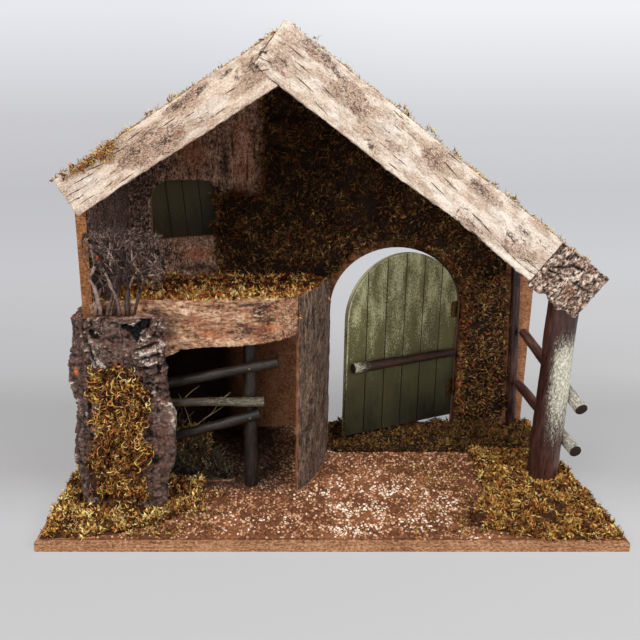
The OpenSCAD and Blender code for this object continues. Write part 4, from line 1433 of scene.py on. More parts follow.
@dataclass
class Branch:
    """A branch or post with bark round it and cut ends."""

    node: str
    start_mm: Point
    end_mm: Point
    wide_mm: float
    narrow_mm: float
    bark: Finish
    sides: int = 28
    rough_mm: float = 0.35
    bend_mm: float = 0.6
    knots: Sequence[Knot] = ()
    cuts: Sequence[tuple[Point, Point]] = ()
    lichen: Callable[[Vector], float] | None = None
    turn: float = 0.0
    body: str = "stable"
    pivot_mm: Point = (0, 0, 0)

    @property
    def name(self) -> str:
        """Name of the piece."""
        return self.node + "_branch"

    def build(self) -> None:
        """The finished piece."""
        start, end = Vector(self.start_mm) * MM, Vector(self.end_mm) * MM
        span = end - start
        bm = bmesh.new()
        ends = {"radius1": self.wide_mm * MM / 2, "radius2": self.narrow_mm * MM / 2}
        bmesh.ops.create_cone(
            bm, cap_ends=True, cap_tris=False, segments=self.sides, depth=span.length, **ends
        )

        def rise(edge: BMEdge) -> float:
            """How far an edge rises along the branch."""
            return abs((edge.verts[0].co - edge.verts[1].co).z)

        rims = [edge for edge in bm.edges if rise(edge) < 0.1 * MM]
        bmesh.ops.bevel(
            bm, geom=rims, offset=min(0.7, self.wide_mm * 0.06) * MM, segments=2, profile=0.5,
            affect="EDGES", material=-1,
        )
        sides = [edge for edge in bm.edges if rise(edge) > span.length * 0.5]
        cuts = max(int(span.length / MM / max(1.4, self.wide_mm * 0.09)), 8)
        bmesh.ops.subdivide_edges(bm, edges=sides, cuts=cuts)
        self.shape(bm, span.length)
        turn = UP.rotation_difference(span).to_matrix().to_4x4()
        place = Matrix.Translation((start + end) / 2) @ turn
        bmesh.ops.transform(bm, matrix=place, verts=bm.verts)
        if self.turn:
            pivot = Vector(self.pivot_mm) * MM
            spin = Matrix.Rotation(radians(self.turn), 3, "Z")
            bmesh.ops.rotate(bm, cent=pivot, matrix=spin, verts=bm.verts)
        for point, normal in self.cuts:
            geom = bm.verts[:] + bm.edges[:] + bm.faces[:]
            bmesh.ops.bisect_plane(
                bm, geom=geom, plane_co=Vector(point) * MM, plane_no=normal, clear_outer=True
            )
            edges = [edge for edge in bm.edges if edge.is_boundary]
            filled = bmesh.ops.holes_fill(bm, edges=edges)["faces"]
            for face in filled:
                face.material_index = 1
        bmesh.ops.recalc_face_normals(bm, faces=bm.faces)
        mesh = release(bm, self.name)
        piece(self.name, mesh, [self.bark, CUT], [self.node], self.body)

    def shape(self, bm: BMesh, length: float) -> None:
        """Bark relief, knots and a slight bend, with the marks that the finish reads.

        Args:
            bm: The upright branch, before it is put in its place.
            length: Its length in metres.
        """
        grain = bm.verts.layers.float_vector.new("grain")
        lichen = layer(bm, "lichen")
        seed = Vector((len(self.name) * 0.37, sum(map(ord, self.name)) * 0.011, 0))
        for face in bm.faces:
            if abs(face.normal.z) > 0.8:
                face.material_index = 1
        for vert in bm.verts:
            local = vert.co.copy()
            vert[grain] = local + seed
            along = local.z + length / 2
            away = Vector((local.x, local.y, 0))
            if away.length > 0.2 * MM:
                outward = away.normalized()
                sample = Vector((local.x, local.y, local.z * 0.3)) + seed
                lift = fbm(sample, 5, 4) * self.rough_mm + fbm(sample, 22, 2) * self.rough_mm
                for knot in self.knots:
                    angle = radians(knot.round_deg)
                    around = outward.angle(Vector((cos(angle), sin(angle), 0)))
                    off = hypot(around * self.wide_mm / 2, along / MM - knot.along_mm)
                    lift += knot.lift_mm * smooth(off, knot.size_mm, 0)
                inner = smooth(away.length, 0, self.narrow_mm * MM * 0.4)
                vert.co += outward * lift * MM * inner
            share = along / length
            sway = sin(pi * share) * self.bend_mm * MM
            vert.co.x += sway * fbm(Vector((0, 0, along)) + seed, 40, 2)
            vert.co.y += sway * fbm(Vector((9, 0, along)) + seed, 40, 2)
            vert[lichen] = self.lichen(Vector((local.x, local.y, along))) if self.lichen else 0.0


# ---------------------------------------------------------------- parts of the stable


@dataclass
class Studio:
    """Camera, lamps, floor and backdrop."""

    place: Point = (-0.0454, -0.6222, 0.3378)
    pitch: float = 15.27
    lens: float = 38.04
    shift: float = 0.0658
    bend_from: float = 1.5
    bend_radius: float = 1.4

    def build(self) -> None:
        """Everything round the stable."""
        self.camera()
        self.lamps()
        self.sky()
        self.backdrop()

    def camera(self) -> None:
        """The camera at the photograph's angle."""
        data = bpy.data.cameras.new("camera")
        data.lens = self.lens
        data.sensor_width = 36
        data.shift_x = self.shift
        data.clip_start = 0.02
        camera = placed("camera", data)
        camera.location = self.place
        camera.rotation_euler = (radians(90 - self.pitch), 0, 0)
        bpy.context.scene.camera = camera

    def lamps(self) -> None:
        """Two wide soft lamps in front and one above."""
        for name, place, size, power in (
            ("lamp_left", (-0.95, -1.3, 1.1), 0.8, 19),
            ("lamp_right", (1.05, -1.15, 1.0), 0.7, 17),
            ("lamp_top", (0.0, -0.5, 1.8), 1.0, 9),
        ):
            data = bpy.data.lights.new(name, "AREA")
            data.shape = "SQUARE"
            data.size = size
            data.energy = power
            lamp = placed(name, data)
            lamp.location = place
            aim = Vector((0, 0, 0.15)) - Vector(place)
            lamp.rotation_euler = aim.to_track_quat("-Z", "Y").to_euler()

    def sky(self) -> None:
        """An even sky, paler where the camera sees it."""
        world = bpy.data.worlds.new("sky")
        world.use_nodes = True
        nodes = Nodes(world.node_tree)
        seen = nodes.value("ShaderNodeLightPath", {}, {}, "Is Camera Ray")
        shade, pale = (
            nodes.value("ShaderNodeBackground", {}, {"Color": colour, "Strength": strength})
            for colour, strength in ((rgb(255, 255, 255), 0.3), (rgb(208, 209, 213), 1.0))
        )
        blend = nodes.value("ShaderNodeMixShader", {}, {0: seen, 1: shade, 2: pale})
        nodes.add("ShaderNodeOutputWorld", {}, {"Surface": blend})
        bpy.context.scene.world = world

    def backdrop(self) -> None:
        """A floor that bends up into a wall, with no edge between them; the camera sees it mostly
        as a painted glow.
        """
        bm = bmesh.new()
        bmesh.ops.create_grid(bm, x_segments=1, y_segments=160, size=1.0)
        run = layer(bm, "run")
        turn = self.bend_radius * pi / 2
        for vert in bm.verts:
            along = -1.6 + (vert.co.y + 1) / 2 * 8.0
            vert[run] = along
            angle = clamp(along - self.bend_from, 0, turn) / self.bend_radius
            rise = max(along - self.bend_from - turn, 0)
            depth = min(along, self.bend_from) + self.bend_radius * sin(angle)
            height = self.bend_radius * (1 - cos(angle)) + rise
            vert.co = Vector((vert.co.x * 4.5, depth, height - 0.2 * MM))
        floor = placed("floor", release(bm, "floor"))
        floor.data.polygons.foreach_set("use_smooth", [True] * len(floor.data.polygons))
        coat = Coat("backdrop")
        along = coat.mark("run")
        # Painted glow for the camera: its colour runs along the floor, darker in a band at the
        # stable's depth and slightly darker to the left; the lit share keeps the stable's real
        # shadow.
        tones = (
            (-0.23, 206, 206, 206), (-0.08, 206, 206, 207), (0.02, 188, 187, 188),
            (0.19, 188, 188, 188), (0.33, 206, 206, 207), (0.6, 212, 212, 214),
            (1.6, 204, 205, 209), (2.1, 200, 201, 205), (2.6, 210, 211, 215),
            (3.2, 240, 242, 246),
        )
        stops = [((place + 0.4) / 4, rgb(*tone)) for place, *tone in tones]
        near = coat.ramp((along + 0.4) / 4, stops)
        side = coat.coords().axis(0).step(-0.7, 0.7)
        dim_to_left = coat.mix(side, rgb(246, 245, 246), rgb(255, 255, 255))
        near = coat.mix(1.0, near, dim_to_left, "MULTIPLY")
        coat.finish(near, 0.9, specular=0.0)
        glow = coat.value("ShaderNodeEmission", {}, {"Color": near, "Strength": 1.0})
        rays = coat.value("ShaderNodeLightPath", {}, {}, "Is Camera Ray")
        share = rays * (along.step(0.3, 1.2) * 0.35 + 0.65)
        lit = Value(coat, coat.shader.outputs[0])
        blend = coat.value("ShaderNodeMixShader", {}, {0: share, 1: lit, 2: glow})
        coat.feed(coat.output, {0: blend})
        floor.data.materials.append(coat.material)


class Slope(Enum):
    """The two slopes of the roof; the value is the way they fall along X."""

    LEFT = -1
    RIGHT = 1


@dataclass
class Roofline:
    """The slopes of the roof, measured along and across the fascia boards."""

    ridge_x_mm: float = -36
    ridge_z_mm: float = 422
    left_pitch: float = 31.8
    right_pitch: float = 36.6

    def left(self, place: Vector) -> Vector:
        """Run down the left slope, depth below its line, and the depth of the building."""
        angle = radians(self.left_pitch)
        return self.measure(Vector((-place.x, place.y, place.z)), -self.ridge_x_mm, angle)

    def right(self, place: Vector) -> Vector:
        """The same on the right slope."""
        return self.measure(place, self.ridge_x_mm, radians(self.right_pitch))

    def measure(self, place: Vector, ridge_mm: float, angle: float) -> Vector:
        """Coordinates on a slope that falls along X.

        Args:
            place: A place in metres.
            ridge_mm: Where the ridge is along X.
            angle: Pitch in radians.

        Returns:
            Run, depth and Y in metres.
        """
        across = place.x - ridge_mm * MM
        down = self.ridge_z_mm * MM - place.z
        run = across * cos(angle) + down * sin(angle)
        depth = down * cos(angle) - across * sin(angle)
        return Vector((run, depth, place.y))

    def spot(self, slope: Slope, run_mm: float, depth_mm: float, y_mm: float) -> Point:
        """The place in mm that has these coordinates on a slope.

        Args:
            slope: The slope.
            run_mm: Way down the slope from the ridge.
            depth_mm: Depth below its line.
            y_mm: Y of the place.

        Returns:
            The place.
        """
        angle = radians(self.left_pitch if slope is Slope.LEFT else self.right_pitch)
        across = run_mm * cos(angle) - depth_mm * sin(angle)
        down = run_mm * sin(angle) + depth_mm * cos(angle)
        return (self.ridge_x_mm + slope.value * across, y_mm, self.ridge_z_mm - down)


RIGHT_SPOTS = ovals(
    (70, 14, 26, 12, 0.3, 0, 0, 0.5, 0, 0.7), (84, 19, 13, 9, 0.3, 0, 0, 0.5, 0, 0.5),
    (30, 6, 20, 6, 0.3, 0, 0, 0.5, 0, 0.7), (155, 12, 16, 10, 0.2, 0, 0, 0.5, 0, 0.6),
    (262, 28, 22, 10, 0.2, 0, 0, 0.5, 0, 0.5), (208, 9, 22, 6, 0.2, 0, 0, 0.5, 0, 0.5),
    (215, 36, 18, 3, 0.2, 0, 0, 0.5, 0, 0.6), (10, 28, 9, 10, 0.2, 0, 0, 0.5, 0, 0.45),
    (43, 23, 8, 4, 0.3, 0, 0.9), (69, 34, 7, 3.5, 0.2, 0, 0.9), (112, 15, 13, 9, 0.3, 0, 0.55),
    (140, 29, 12, 7, 0.3, 0, 0.7), (228, 15, 14, 6, 0.3, 0, 0.85), (180, 30, 14, 6, 0.2, 0, 0.5),
    (252, 39, 24, 3, 0.7, 0, 0.6), (52, 7.5, 11, 3, -0.2, 0.5, 0, 0.9, 8, 0.4),
    (38, 4, 5, 3.4, -0.6, 0.85, 0, 0.5, 20, 0.4), (38, 4, 3, 1.9, 0.6, 0, 0.5),
    (28, 2, 4, 2.2, -0.5, 0.75, 0, 0.5, -20), (18, 1.5, 5, 1.4, -0.7, 0.95, 0, 0.5, 8),
    (80, 22, 7, 4, -0.2, 0.3, 0, 0.9, 0, 0, 0.3), (70, 24, 9, 3, 0, 0.4, 0, 0.9),
    (18, 33.5, 2.6, 1.8, 0.5, 0.2, 0, 0.5, 0, 0, 0.9), (108, 36, 5, 4, -0.3, 0.8, 0, 0.8, 30, 0.5),
    (103, 33, 4, 1, -0.4, 0.9, 0, 0.5, -35), (200, 8.5, 12, 3.4, -0.2, 0.75, 0, 0.9, 14, 0.3),
    (254, 13, 11, 3.6, -0.3, 0.95, 0, 0.9, 4), (247, 22, 8, 3, -0.3, 0.8, 0, 0.9, 12),
    (232, 1.5, 14, 1.6, -0.2, 0.6, 0, 0.9), (212, 34, 12, 1.4, -0.3, 0.75, 0, 0.8, 4),
    (228, 38, 8, 1.2, -0.3, 0.7, 0, 0.8, 8), (198, 33, 5, 0.7, -0.5, 0.85, 0, 0.6, 80),
    (203, 27.5, 5, 0.7, -0.5, 0.8, 0, 0.6, -12), (223, 29.4, 18, 0.8, -0.7, 0.75, 0, 0.6, 8),
    (252, 33.5, 13, 0.9, -0.8, 0.85, 0, 0.6, 9), (280, 34.6, 17, 0.9, -0.7, 0.8, 0, 0.6, -3),
    (246, 28, 5, 1.4, -0.2, 0.3, 0, 0.8, 30, 0, 0.9),
)
LEFT_SPOTS = ovals(
    (150, 20, 30, 13, 0.3, 0, 0, 0.5, 0, 0.75), (128, 24, 20, 10, 0.3, 0, 0, 0.5, 0, 0.5),
    (40, 16, 22, 14, 0.3, 0, 0, 0.5, 0, 0.45), (100, 5, 26, 5, 0.2, 0, 0, 0.5, 0, 0.6),
    (205, 16, 20, 12, 0.3, 0, 0.55), (204, 14, 6, 3, 0.3, 0, 0.9), (88, 20, 22, 8, 0.2, 0, 0.6),
    (20, 31, 14, 3, 0.2, 0, 0.8), (108, 30, 18, 2.6, 0.2, 0, 0.5),
    (157, 17, 14, 5, -0.2, 0.5, 0, 0.9), (140, 10, 16, 3, -0.2, 0.45, 0, 0.9, -4),
    (137, 23, 9, 4, -0.2, 0.45, 0, 0.9), (107, 5, 11, 3.4, -0.5, 0.85, 0, 0.9, 6),
    (88, 5, 12, 3.2, -0.5, 0.85, 0, 0.9, -5), (61, 5, 9, 2.6, -0.5, 0.8, 0, 0.9, 5),
    (56, 13, 3, 1.6, -0.4, 0.7, 0, 0.8), (40, 14, 5, 6, -0.4, 0.75, 0, 0.5, 35),
    (40, 14, 3.2, 4, 0.5, 0, 0.3, 0.5, 0, 0.2), (28, 8, 6, 5, -0.4, 0.7, 0, 0.5, -30),
    (28, 8, 4, 3.2, 0.5, 0, 0, 0.5, 0, 0.2), (29, 16, 9, 0.9, -0.5, 0.85, 0, 0.5, -55),
    (22, 20, 8, 0.9, -0.4, 0.7, 0, 0.5, 40), (133, 22, 1, 7, -0.5, 0.7, 0, 0.5, -18),
    (128, 26, 1, 5, -0.4, 0.6, 0, 0.5, 25), (119, 23, 2.2, 1.8, 0.3, 0, 0, 0.5, 0, 0, 1),
)
RIGHT_SCARS = (
    (12, 26, 9, 5), (17, 14.5, 9.5, 0), (28, 20.3, 8, 0), (24, 24, 3.5, 2), (36, 29.3, 10.5, 3),
    (56, 23, 8.5, 5), (58, 36, 9, 7), (63, 19.4, 3, 2), (90, 33, 5, 3), (100, 25.4, 6, 6),
    (110, 18.4, 6.5, 2), (117, 11.6, 6, 3), (111, 3.3, 7, 2), (130, 9.5, 6, 1), (115, 29, 5.5, 3),
    (134, 30, 8, 0), (132, 37, 8, 0), (11, 2, 3, 1), (58, 2, 2.4, 6), (173, 29, 9, 6),
    (171, 10.7, 12, 10), (167, 2, 9, -1), (180, 20, 9, 6), (250, 24, 8, 12), (280, 30, 13, 3),
    (240, 10.8, 2.6, 5), (198, 33, 5, 80), (203, 27.5, 5.5, -14), (214, 27.6, 8, 4),
    (229, 29.6, 9, 10), (246, 32.6, 10, 9), (262, 34.8, 9, 7), (280, 35.2, 8, -3),
    (204, 38.4, 7, 2), (222, 38.8, 9, 3),
)
RIGHT_KNOTS = (
    (252, 14, 9, -20), (260, 19, 7, 10), (246, 23, 7, 20), (200, 8.5, 10, 14), (38, 4, 5, 30),
    (28, 3, 4, -20), (108, 36, 4.5, 30), (52, 7, 9, 8), (80, 21, 9, 0), (212, 34, 8, 4),
    (120, 24, 8, 0), (155, 14, 9, 5), (268, 30, 9, 5), (70, 14, 12, 5), (275, 12, 9, 15),
)
LEFT_SCARS = (
    (221, 22, 7.5, -3), (217, 22.6, 5.5, 7), (214, 17, 11, -5), (206, 11.8, 12, -4),
    (192, 9.5, 11, -10), (195, 6, 8, -6), (190, 27, 6, 3), (212, 27, 8, -2), (176, 30, 8, 0),
    (168, 9, 10, -3), (150, 6, 9, 2), (122, 12, 9, 0), (104, 16, 8, -2), (84, 27, 9, 2),
    (66, 18, 8, 0), (29, 16, 8, -55), (22, 20, 8, 40), (42, 9, 6, 30), (36, 19, 5, -20),
)
LEFT_KNOTS = (
    (157, 17, 12, 0), (140, 10, 12, -4), (137, 23, 9, 0), (107, 5, 8, 6), (88, 5, 8, -5),
    (61, 5, 7, 5), (56, 13, 5, 20), (40, 14, 8, 35), (28, 8, 7, -30), (133, 22, 5, 80),
    (120, 16, 10, 0), (172, 20, 10, 0), (100, 24, 8, 0),
)
END_SPOTS = ovals(
    (292, 14, 6, 6, 1.2, 0, 0.3), (300, 16, 11, 1.6, -2.2, 0.95, 0, 0.5, -38),
    (310, 9, 10, 1.4, -2, 0.9, 0, 0.5, -14), (296, 24, 8, 1.4, -1.8, 0.9, 0, 0.5, -22),
    (322, 20, 11, 1.2, -1.4, 0.85, 0, 0.5, -8), (288, 5, 2, 8, -1, 0.6),
    (312, 36, 10, 5, 0.8, 0, 0.9, 0.9), (324, 40, 8, 5, 0.8, 0, 0.8, 0.9),
    (296, 38, 8, 4, 0.4, 0, 0.7, 0.9), (318, 27, 9, 4, 0.3, 0, 0, 0.9, 0, 0, 0.4),
)


@dataclass
class FasciaBoards:
    """Birch bark boards along the front of the roof and the rough piece at the right eave."""

    line: Roofline = field(default_factory=Roofline)
    face_y_mm: float = -59.4

    def birch(self, features: Sequence[Spot]) -> Callable[[Vector, Vector], Marks]:
        """Relief of a board: torn layers, rough patches and its own features.

        Args:
            features: The board's own features.

        Returns:
            The relief, as weather takes it.
        """

        def relief(local: Vector, normal: Vector) -> Marks:
            """Marks at one point.

            Args:
                local: The place, measured by the fibre.
                normal: Where it faces.

            Returns:
                Its lift and marks.
            """
            cloud = fbm(Vector((local.x * 0.6, local.y, 0.3)), 30, 3)
            layers = stepped(fbm(Vector((local.x * 0.4, local.y, 0)), 16, 4) + 1)
            ridge = ridged(Vector((local.x * 0.5, local.y, local.z)), 4, 3)
            front = smooth(-normal.y, 0.2, 0.8)
            marks = Marks(0, rough=0.2 + cloud * 0.35)
            apply(features, local.x, local.y, marks)
            rough = clamp(marks.rough)
            fine = fbm(local, 2.6, 3)
            lift = (layers - 1) * 0.4 + rough * (ridge - 0.5) * 0.8 + fine * (0.1 + 0.3 * rough)
            edge = fbm(local, 7, 4) * 1.0
            marks.lift_mm = (marks.lift_mm + lift) * front + edge * (1 - front)
            return marks

        return relief

    def rough_end(self, local: Vector, normal: Vector) -> Marks:
        """Flaky bark with slanted furrows.

        Args:
            local: The place, measured by the fibre.
            normal: Where it faces.

        Returns:
            Its lift and marks.
        """
        warped = Vector((local.x + local.y * 0.4, local.y * 0.8 - local.x * 0.3, local.z))
        warped += Vector((fbm(local, 12), fbm(local, 9), 0)) * 4 * MM
        plate = fbm(Vector((warped.x * 1.3, warped.y * 0.7, warped.z)), 7, 4)
        crack = 1 - smooth(abs(plate), 0.0, 0.11)
        flakes = fbm(local, 2.6, 4)
        high = clamp(0.55 + plate * 0.25 + flakes * 0.45 - crack * 0.5)
        marks = Marks((high - 0.6) * 3.6, high)
        apply(END_SPOTS, local.x, local.y, marks)
        front = smooth(-normal.y, 0.35, 0.98)
        marks.lift_mm = marks.lift_mm * (0.14 + 0.86 * front) + fbm(local, 5) * 0.5 * (1 - front)
        return marks

    def scarred(
        self,
        board: Mesh,
        slope: Slope,
        scars: Sequence[Scratch],
        knots: Sequence[Scratch],
        relief: Callable[[Vector, Vector], Marks],
        wide_mm: tuple[float, float],
    ) -> Mesh:
        """Add the dark lines of birch bark, and many short ones between them.

        Args:
            board: The shaped board.
            slope: The slope that it lies on.
            scars: Run, depth, half length and turn of each long line.
            knots: Run, depth, reach and turn of places that are full of short lines.
            relief: The relief of the board.
            wide_mm: Length and width of the board.

        Returns:
            The board with its lines, which have the second finish.
        """
        stamps = Stamps(90 + slope.value)
        stamps.bm.from_mesh(board)
        bpy.data.meshes.remove(board)
        draw = stamps.random
        short = []
        for _ in range(130):
            spot = (draw.uniform(4, wide_mm[0] - 4), draw.uniform(1.5, wide_mm[1] - 3))
            if fbm(Vector((spot[0], spot[1], 7)) * MM, 22, 2) > -0.1:
                short.append((*spot, draw.uniform(0.8, 2.8), draw.gauss(3, 5)))
        for run, depth, reach, turn in knots:
            for _ in range(int(reach * 3.2)):
                along = run + draw.gauss(0, reach * 0.5)
                across = clamp(depth + draw.gauss(0, reach * 0.2), 0.8, wide_mm[1] - 1)
                short.append((along, across, draw.uniform(0.7, 2.6), draw.gauss(turn, 24)))
        for run, depth, half, turn in (*scars, *short):
            angle = radians(turn)
            points = []
            for share in (-1, -0.5, 0, 0.5, 1):
                along = run + share * half * cos(angle)
                across = depth + share * half * sin(angle) + draw.uniform(-0.16, 0.16)
                place = Vector((along, across, self.face_y_mm - 0.1)) * MM
                y = self.face_y_mm - relief(place, FRONT).lift_mm
                points.append(Vector(self.line.spot(slope, along, across, y)) * MM)
            thick = min(0.18 + half * 0.035, 0.5) * MM
            ends = [thick * share for share in (0.2, 0.8, 1.0, 0.7, 0.2)]
            mesh = tube(points, ends, 4, 0.5)
            mesh.polygons.foreach_set("material_index", [1] * len(mesh.polygons))
            stamps.add(mesh)
        return stamps.mesh("scarred")

    def build(self) -> None:
        """All three boards."""
        left = (LEFT_SPOTS, LEFT_SCARS, LEFT_KNOTS, BIRCH_BROWN, (225, 34))
        right = (RIGHT_SPOTS, RIGHT_SCARS, RIGHT_KNOTS, BIRCH, (286, 41))
        for slope, features, scars, knots, finish, size in (
            (Slope.LEFT, *left),
            (Slope.RIGHT, *right),
        ):
            node = "fascia_" + slope.name.lower()
            relief = self.birch(features)
            grain = self.line.left if slope is Slope.LEFT else self.line.right
            board = weather(node, 0.8, grain, relief, FRONT)
            mesh = self.scarred(board, slope, scars, knots, relief, size)
            piece(node + "_bark", mesh, [finish, SCAR], [node])
        mesh = weather("fascia_end", 0.8, self.line.right, self.rough_end, FRONT)
        piece("fascia_end_bark", mesh, [END_BARK], ["fascia_end"])


APRON_SPOTS = ovals(
    (-139, 176, 12, 20, -0.2, 0.55, 0, 0.9), (-150, 190, 10, 12, -0.2, 0.6, 0, 0.9),
    (-128, 162, 14, 6, 0, 0.45, 0, 0.9), (-118, 190, 20, 7, 0.3, 0, 0.6, 0.9),
    (-125, 191, 6, 4, 0.5, 0, 0.9), (-78, 176, 4, 9, 0.3, 0, 0.85),
    (-92, 162, 22, 3.5, 0.3, 0, 0.55, 0.9), (-38, 192, 16, 6, 0.3, 0, 0.6, 0.9),
    (-70, 165, 12, 3, 0.2, 0, 0.6, 0.9), (-70, 197, 22, 1.6, -0.8, 0.9, 0, 0.7, 6),
    (-100, 180, 24, 1.2, -0.4, 0.5, 0, 0.8, 4, 0, 0.5),
    (-62, 172, 20, 1, -0.5, 0.5, 0, 0.8, 10, 0, 0.3),
    (-59, 190.5, 11.5, 5.4, -0.5, 0.75, 0, 0.15, 14), (-58.6, 190.5, 9.4, 4, 0.7, 0, 1, 0.15, 14),
    (-58, 190.5, 5.6, 2.2, -0.6, 0.85, 0, 0.2, 14), (-57, 190.6, 3.6, 1.1, 0.5, 0, 1, 0.2, 14),
    (-144, 161, 8, 3, 0, 0, 0, 0.9, 0, 0, 0.7), (-105, 171, 14, 6, 0, 0, 0, 0.9, 0, 0, 0.5),
    (-45, 176, 16, 6, 0, 0, 0, 0.9, 0, 0, 0.5),
)


@dataclass
class Loft:
    """Loft floor with its bark apron, the curved bark slab under it and its moss."""

    turn_x_mm: float = -60
    wall_y_mm: float = 111
    rx_mm: float = 70
    ry_mm: float = 166

    def bent(self, place: Vector) -> Vector:
        """Length along the bent edge, height, and depth through the bark.

        Args:
            place: A place in metres.

        Returns:
            The three measures in metres.
        """
        if place.x <= self.turn_x_mm * MM:
            return Vector((place.x, place.z, place.y))
        across = (place.x / MM - self.turn_x_mm) / self.rx_mm
        back = (self.wall_y_mm - place.y / MM) / self.ry_mm
        angle = atan2(across, back)
        away = hypot(across, back)
        return Vector((self.turn_x_mm * MM + angle * 0.118, place.z, -0.055 - (away - 1) * 0.1))

    def apron(self, local: Vector, normal: Vector) -> Marks:
        """Horizontal fibres in layers.

        Args:
            local: The place, measured by the fibre.
            normal: Where it faces; not used.

        Returns:
            Its lift and marks.
        """
        stretched = Vector((local.x * 0.35, local.y, local.z))
        plate = fbm(Vector((local.x * 0.45, local.y, 3)), 9, 4)
        crack = 1 - smooth(abs(plate), 0.0, 0.07)
        layers = stepped(fbm(Vector((local.x * 0.35, local.y, 3)), 12, 4) + 1)
        ridge = ridged(stretched, 4, 3)
        fine = fbm(local, 2.6, 3)
        high = 0.42 + (layers - 1) * 0.5 + ridge * 0.3 + fine * 0.3 - crack * 0.3
        marks = Marks((high - 0.5) * 1.6 + fbm(local, 7) * 0.4, clamp(high))
        return apply(APRON_SPOTS, local.x, local.y, marks)

    def slab(self, local: Vector, normal: Vector) -> Marks:
        """Vertical furrows.

        Args:
            local: The place, measured by the fibre.
            normal: Where it faces; not used.

        Returns:
            Its lift and marks.
        """
        upright = Vector((local.x, local.y * 0.2, 1))
        ridge = ridged(upright, 6, 4)
        fine = fbm(Vector((local.x, local.y * 0.4, 2)), 3, 4)
        cloud = fbm(local, 18, 3)
        high = clamp(0.2 + ridge * 0.5 + fine * 0.35 + cloud * 0.2)
        marks = Marks((high - 0.6) * 1.7, high)
        side = smooth(local.x, -0.0005, -0.0065)
        marks.red, marks.pale = side * 0.7, side * 0.5
        return marks

    def build(self) -> None:
        """Apron, slab and moss."""
        mesh = weather("loft_apron", 1.0, self.bent, self.apron)
        piece("loft_apron_bark", mesh, [APRON_BARK], ["loft_apron"])
        mesh = weather("loft_post", 1.1, self.bent, self.slab)
        piece("loft_post_bark", mesh, [SLAB_BARK], ["loft_post"])
        dress("loft_floor", BOARD_PLAIN)
        draw = random.Random(12)
        sprigs = []
        for _ in range(150):
            x = draw.uniform(-200, -40)
            y = -53.6 + max(x + 60, 0) ** 2 * 0.035
            way = (draw.uniform(-0.5, 0.5), draw.uniform(-0.7, 0.3), 1.0)
            sprigs.append(Sprig((x, y, draw.uniform(190, 199)), way, draw.uniform(0.6, 1.0)))
        for _ in range(110):
            x, y = draw.uniform(-204, -8), draw.uniform(99, 108)
            way = (draw.uniform(-0.6, 0.6), draw.uniform(-0.6, 0.0), 1.0)
            sprigs.append(Sprig((x, y, draw.uniform(186, 190)), way, draw.uniform(0.7, 1.4)))
        shape = TuftShape(blades=8, length_mm=7, width_mm=0.66, lean=1.5, curl=1.0)
        MossBed(
            "loft_moss", MOSS_LOFT, 1350, UP, shape, seed=11, sprigs=sprigs,
            thin=lambda place: 0.8, tidy=self.behind_apron,
            # Fewer clumps towards the back wall, so the dark cushion shows there: painted shade at
            # the back of the loft.
            density=lambda place: smooth(place.y, 0.1, -0.02) * 0.7
            * (0.12 + smooth(fbm(place, 9, 3), -0.25, 0.2)) + 0.08,
        ).build()

    def behind_apron(self, place: Vector) -> Vector:
        """Keep a strand inside the edge of the loft."""
        return Vector((max(place.x, -0.2065), max(place.y, -0.0595), place.z))
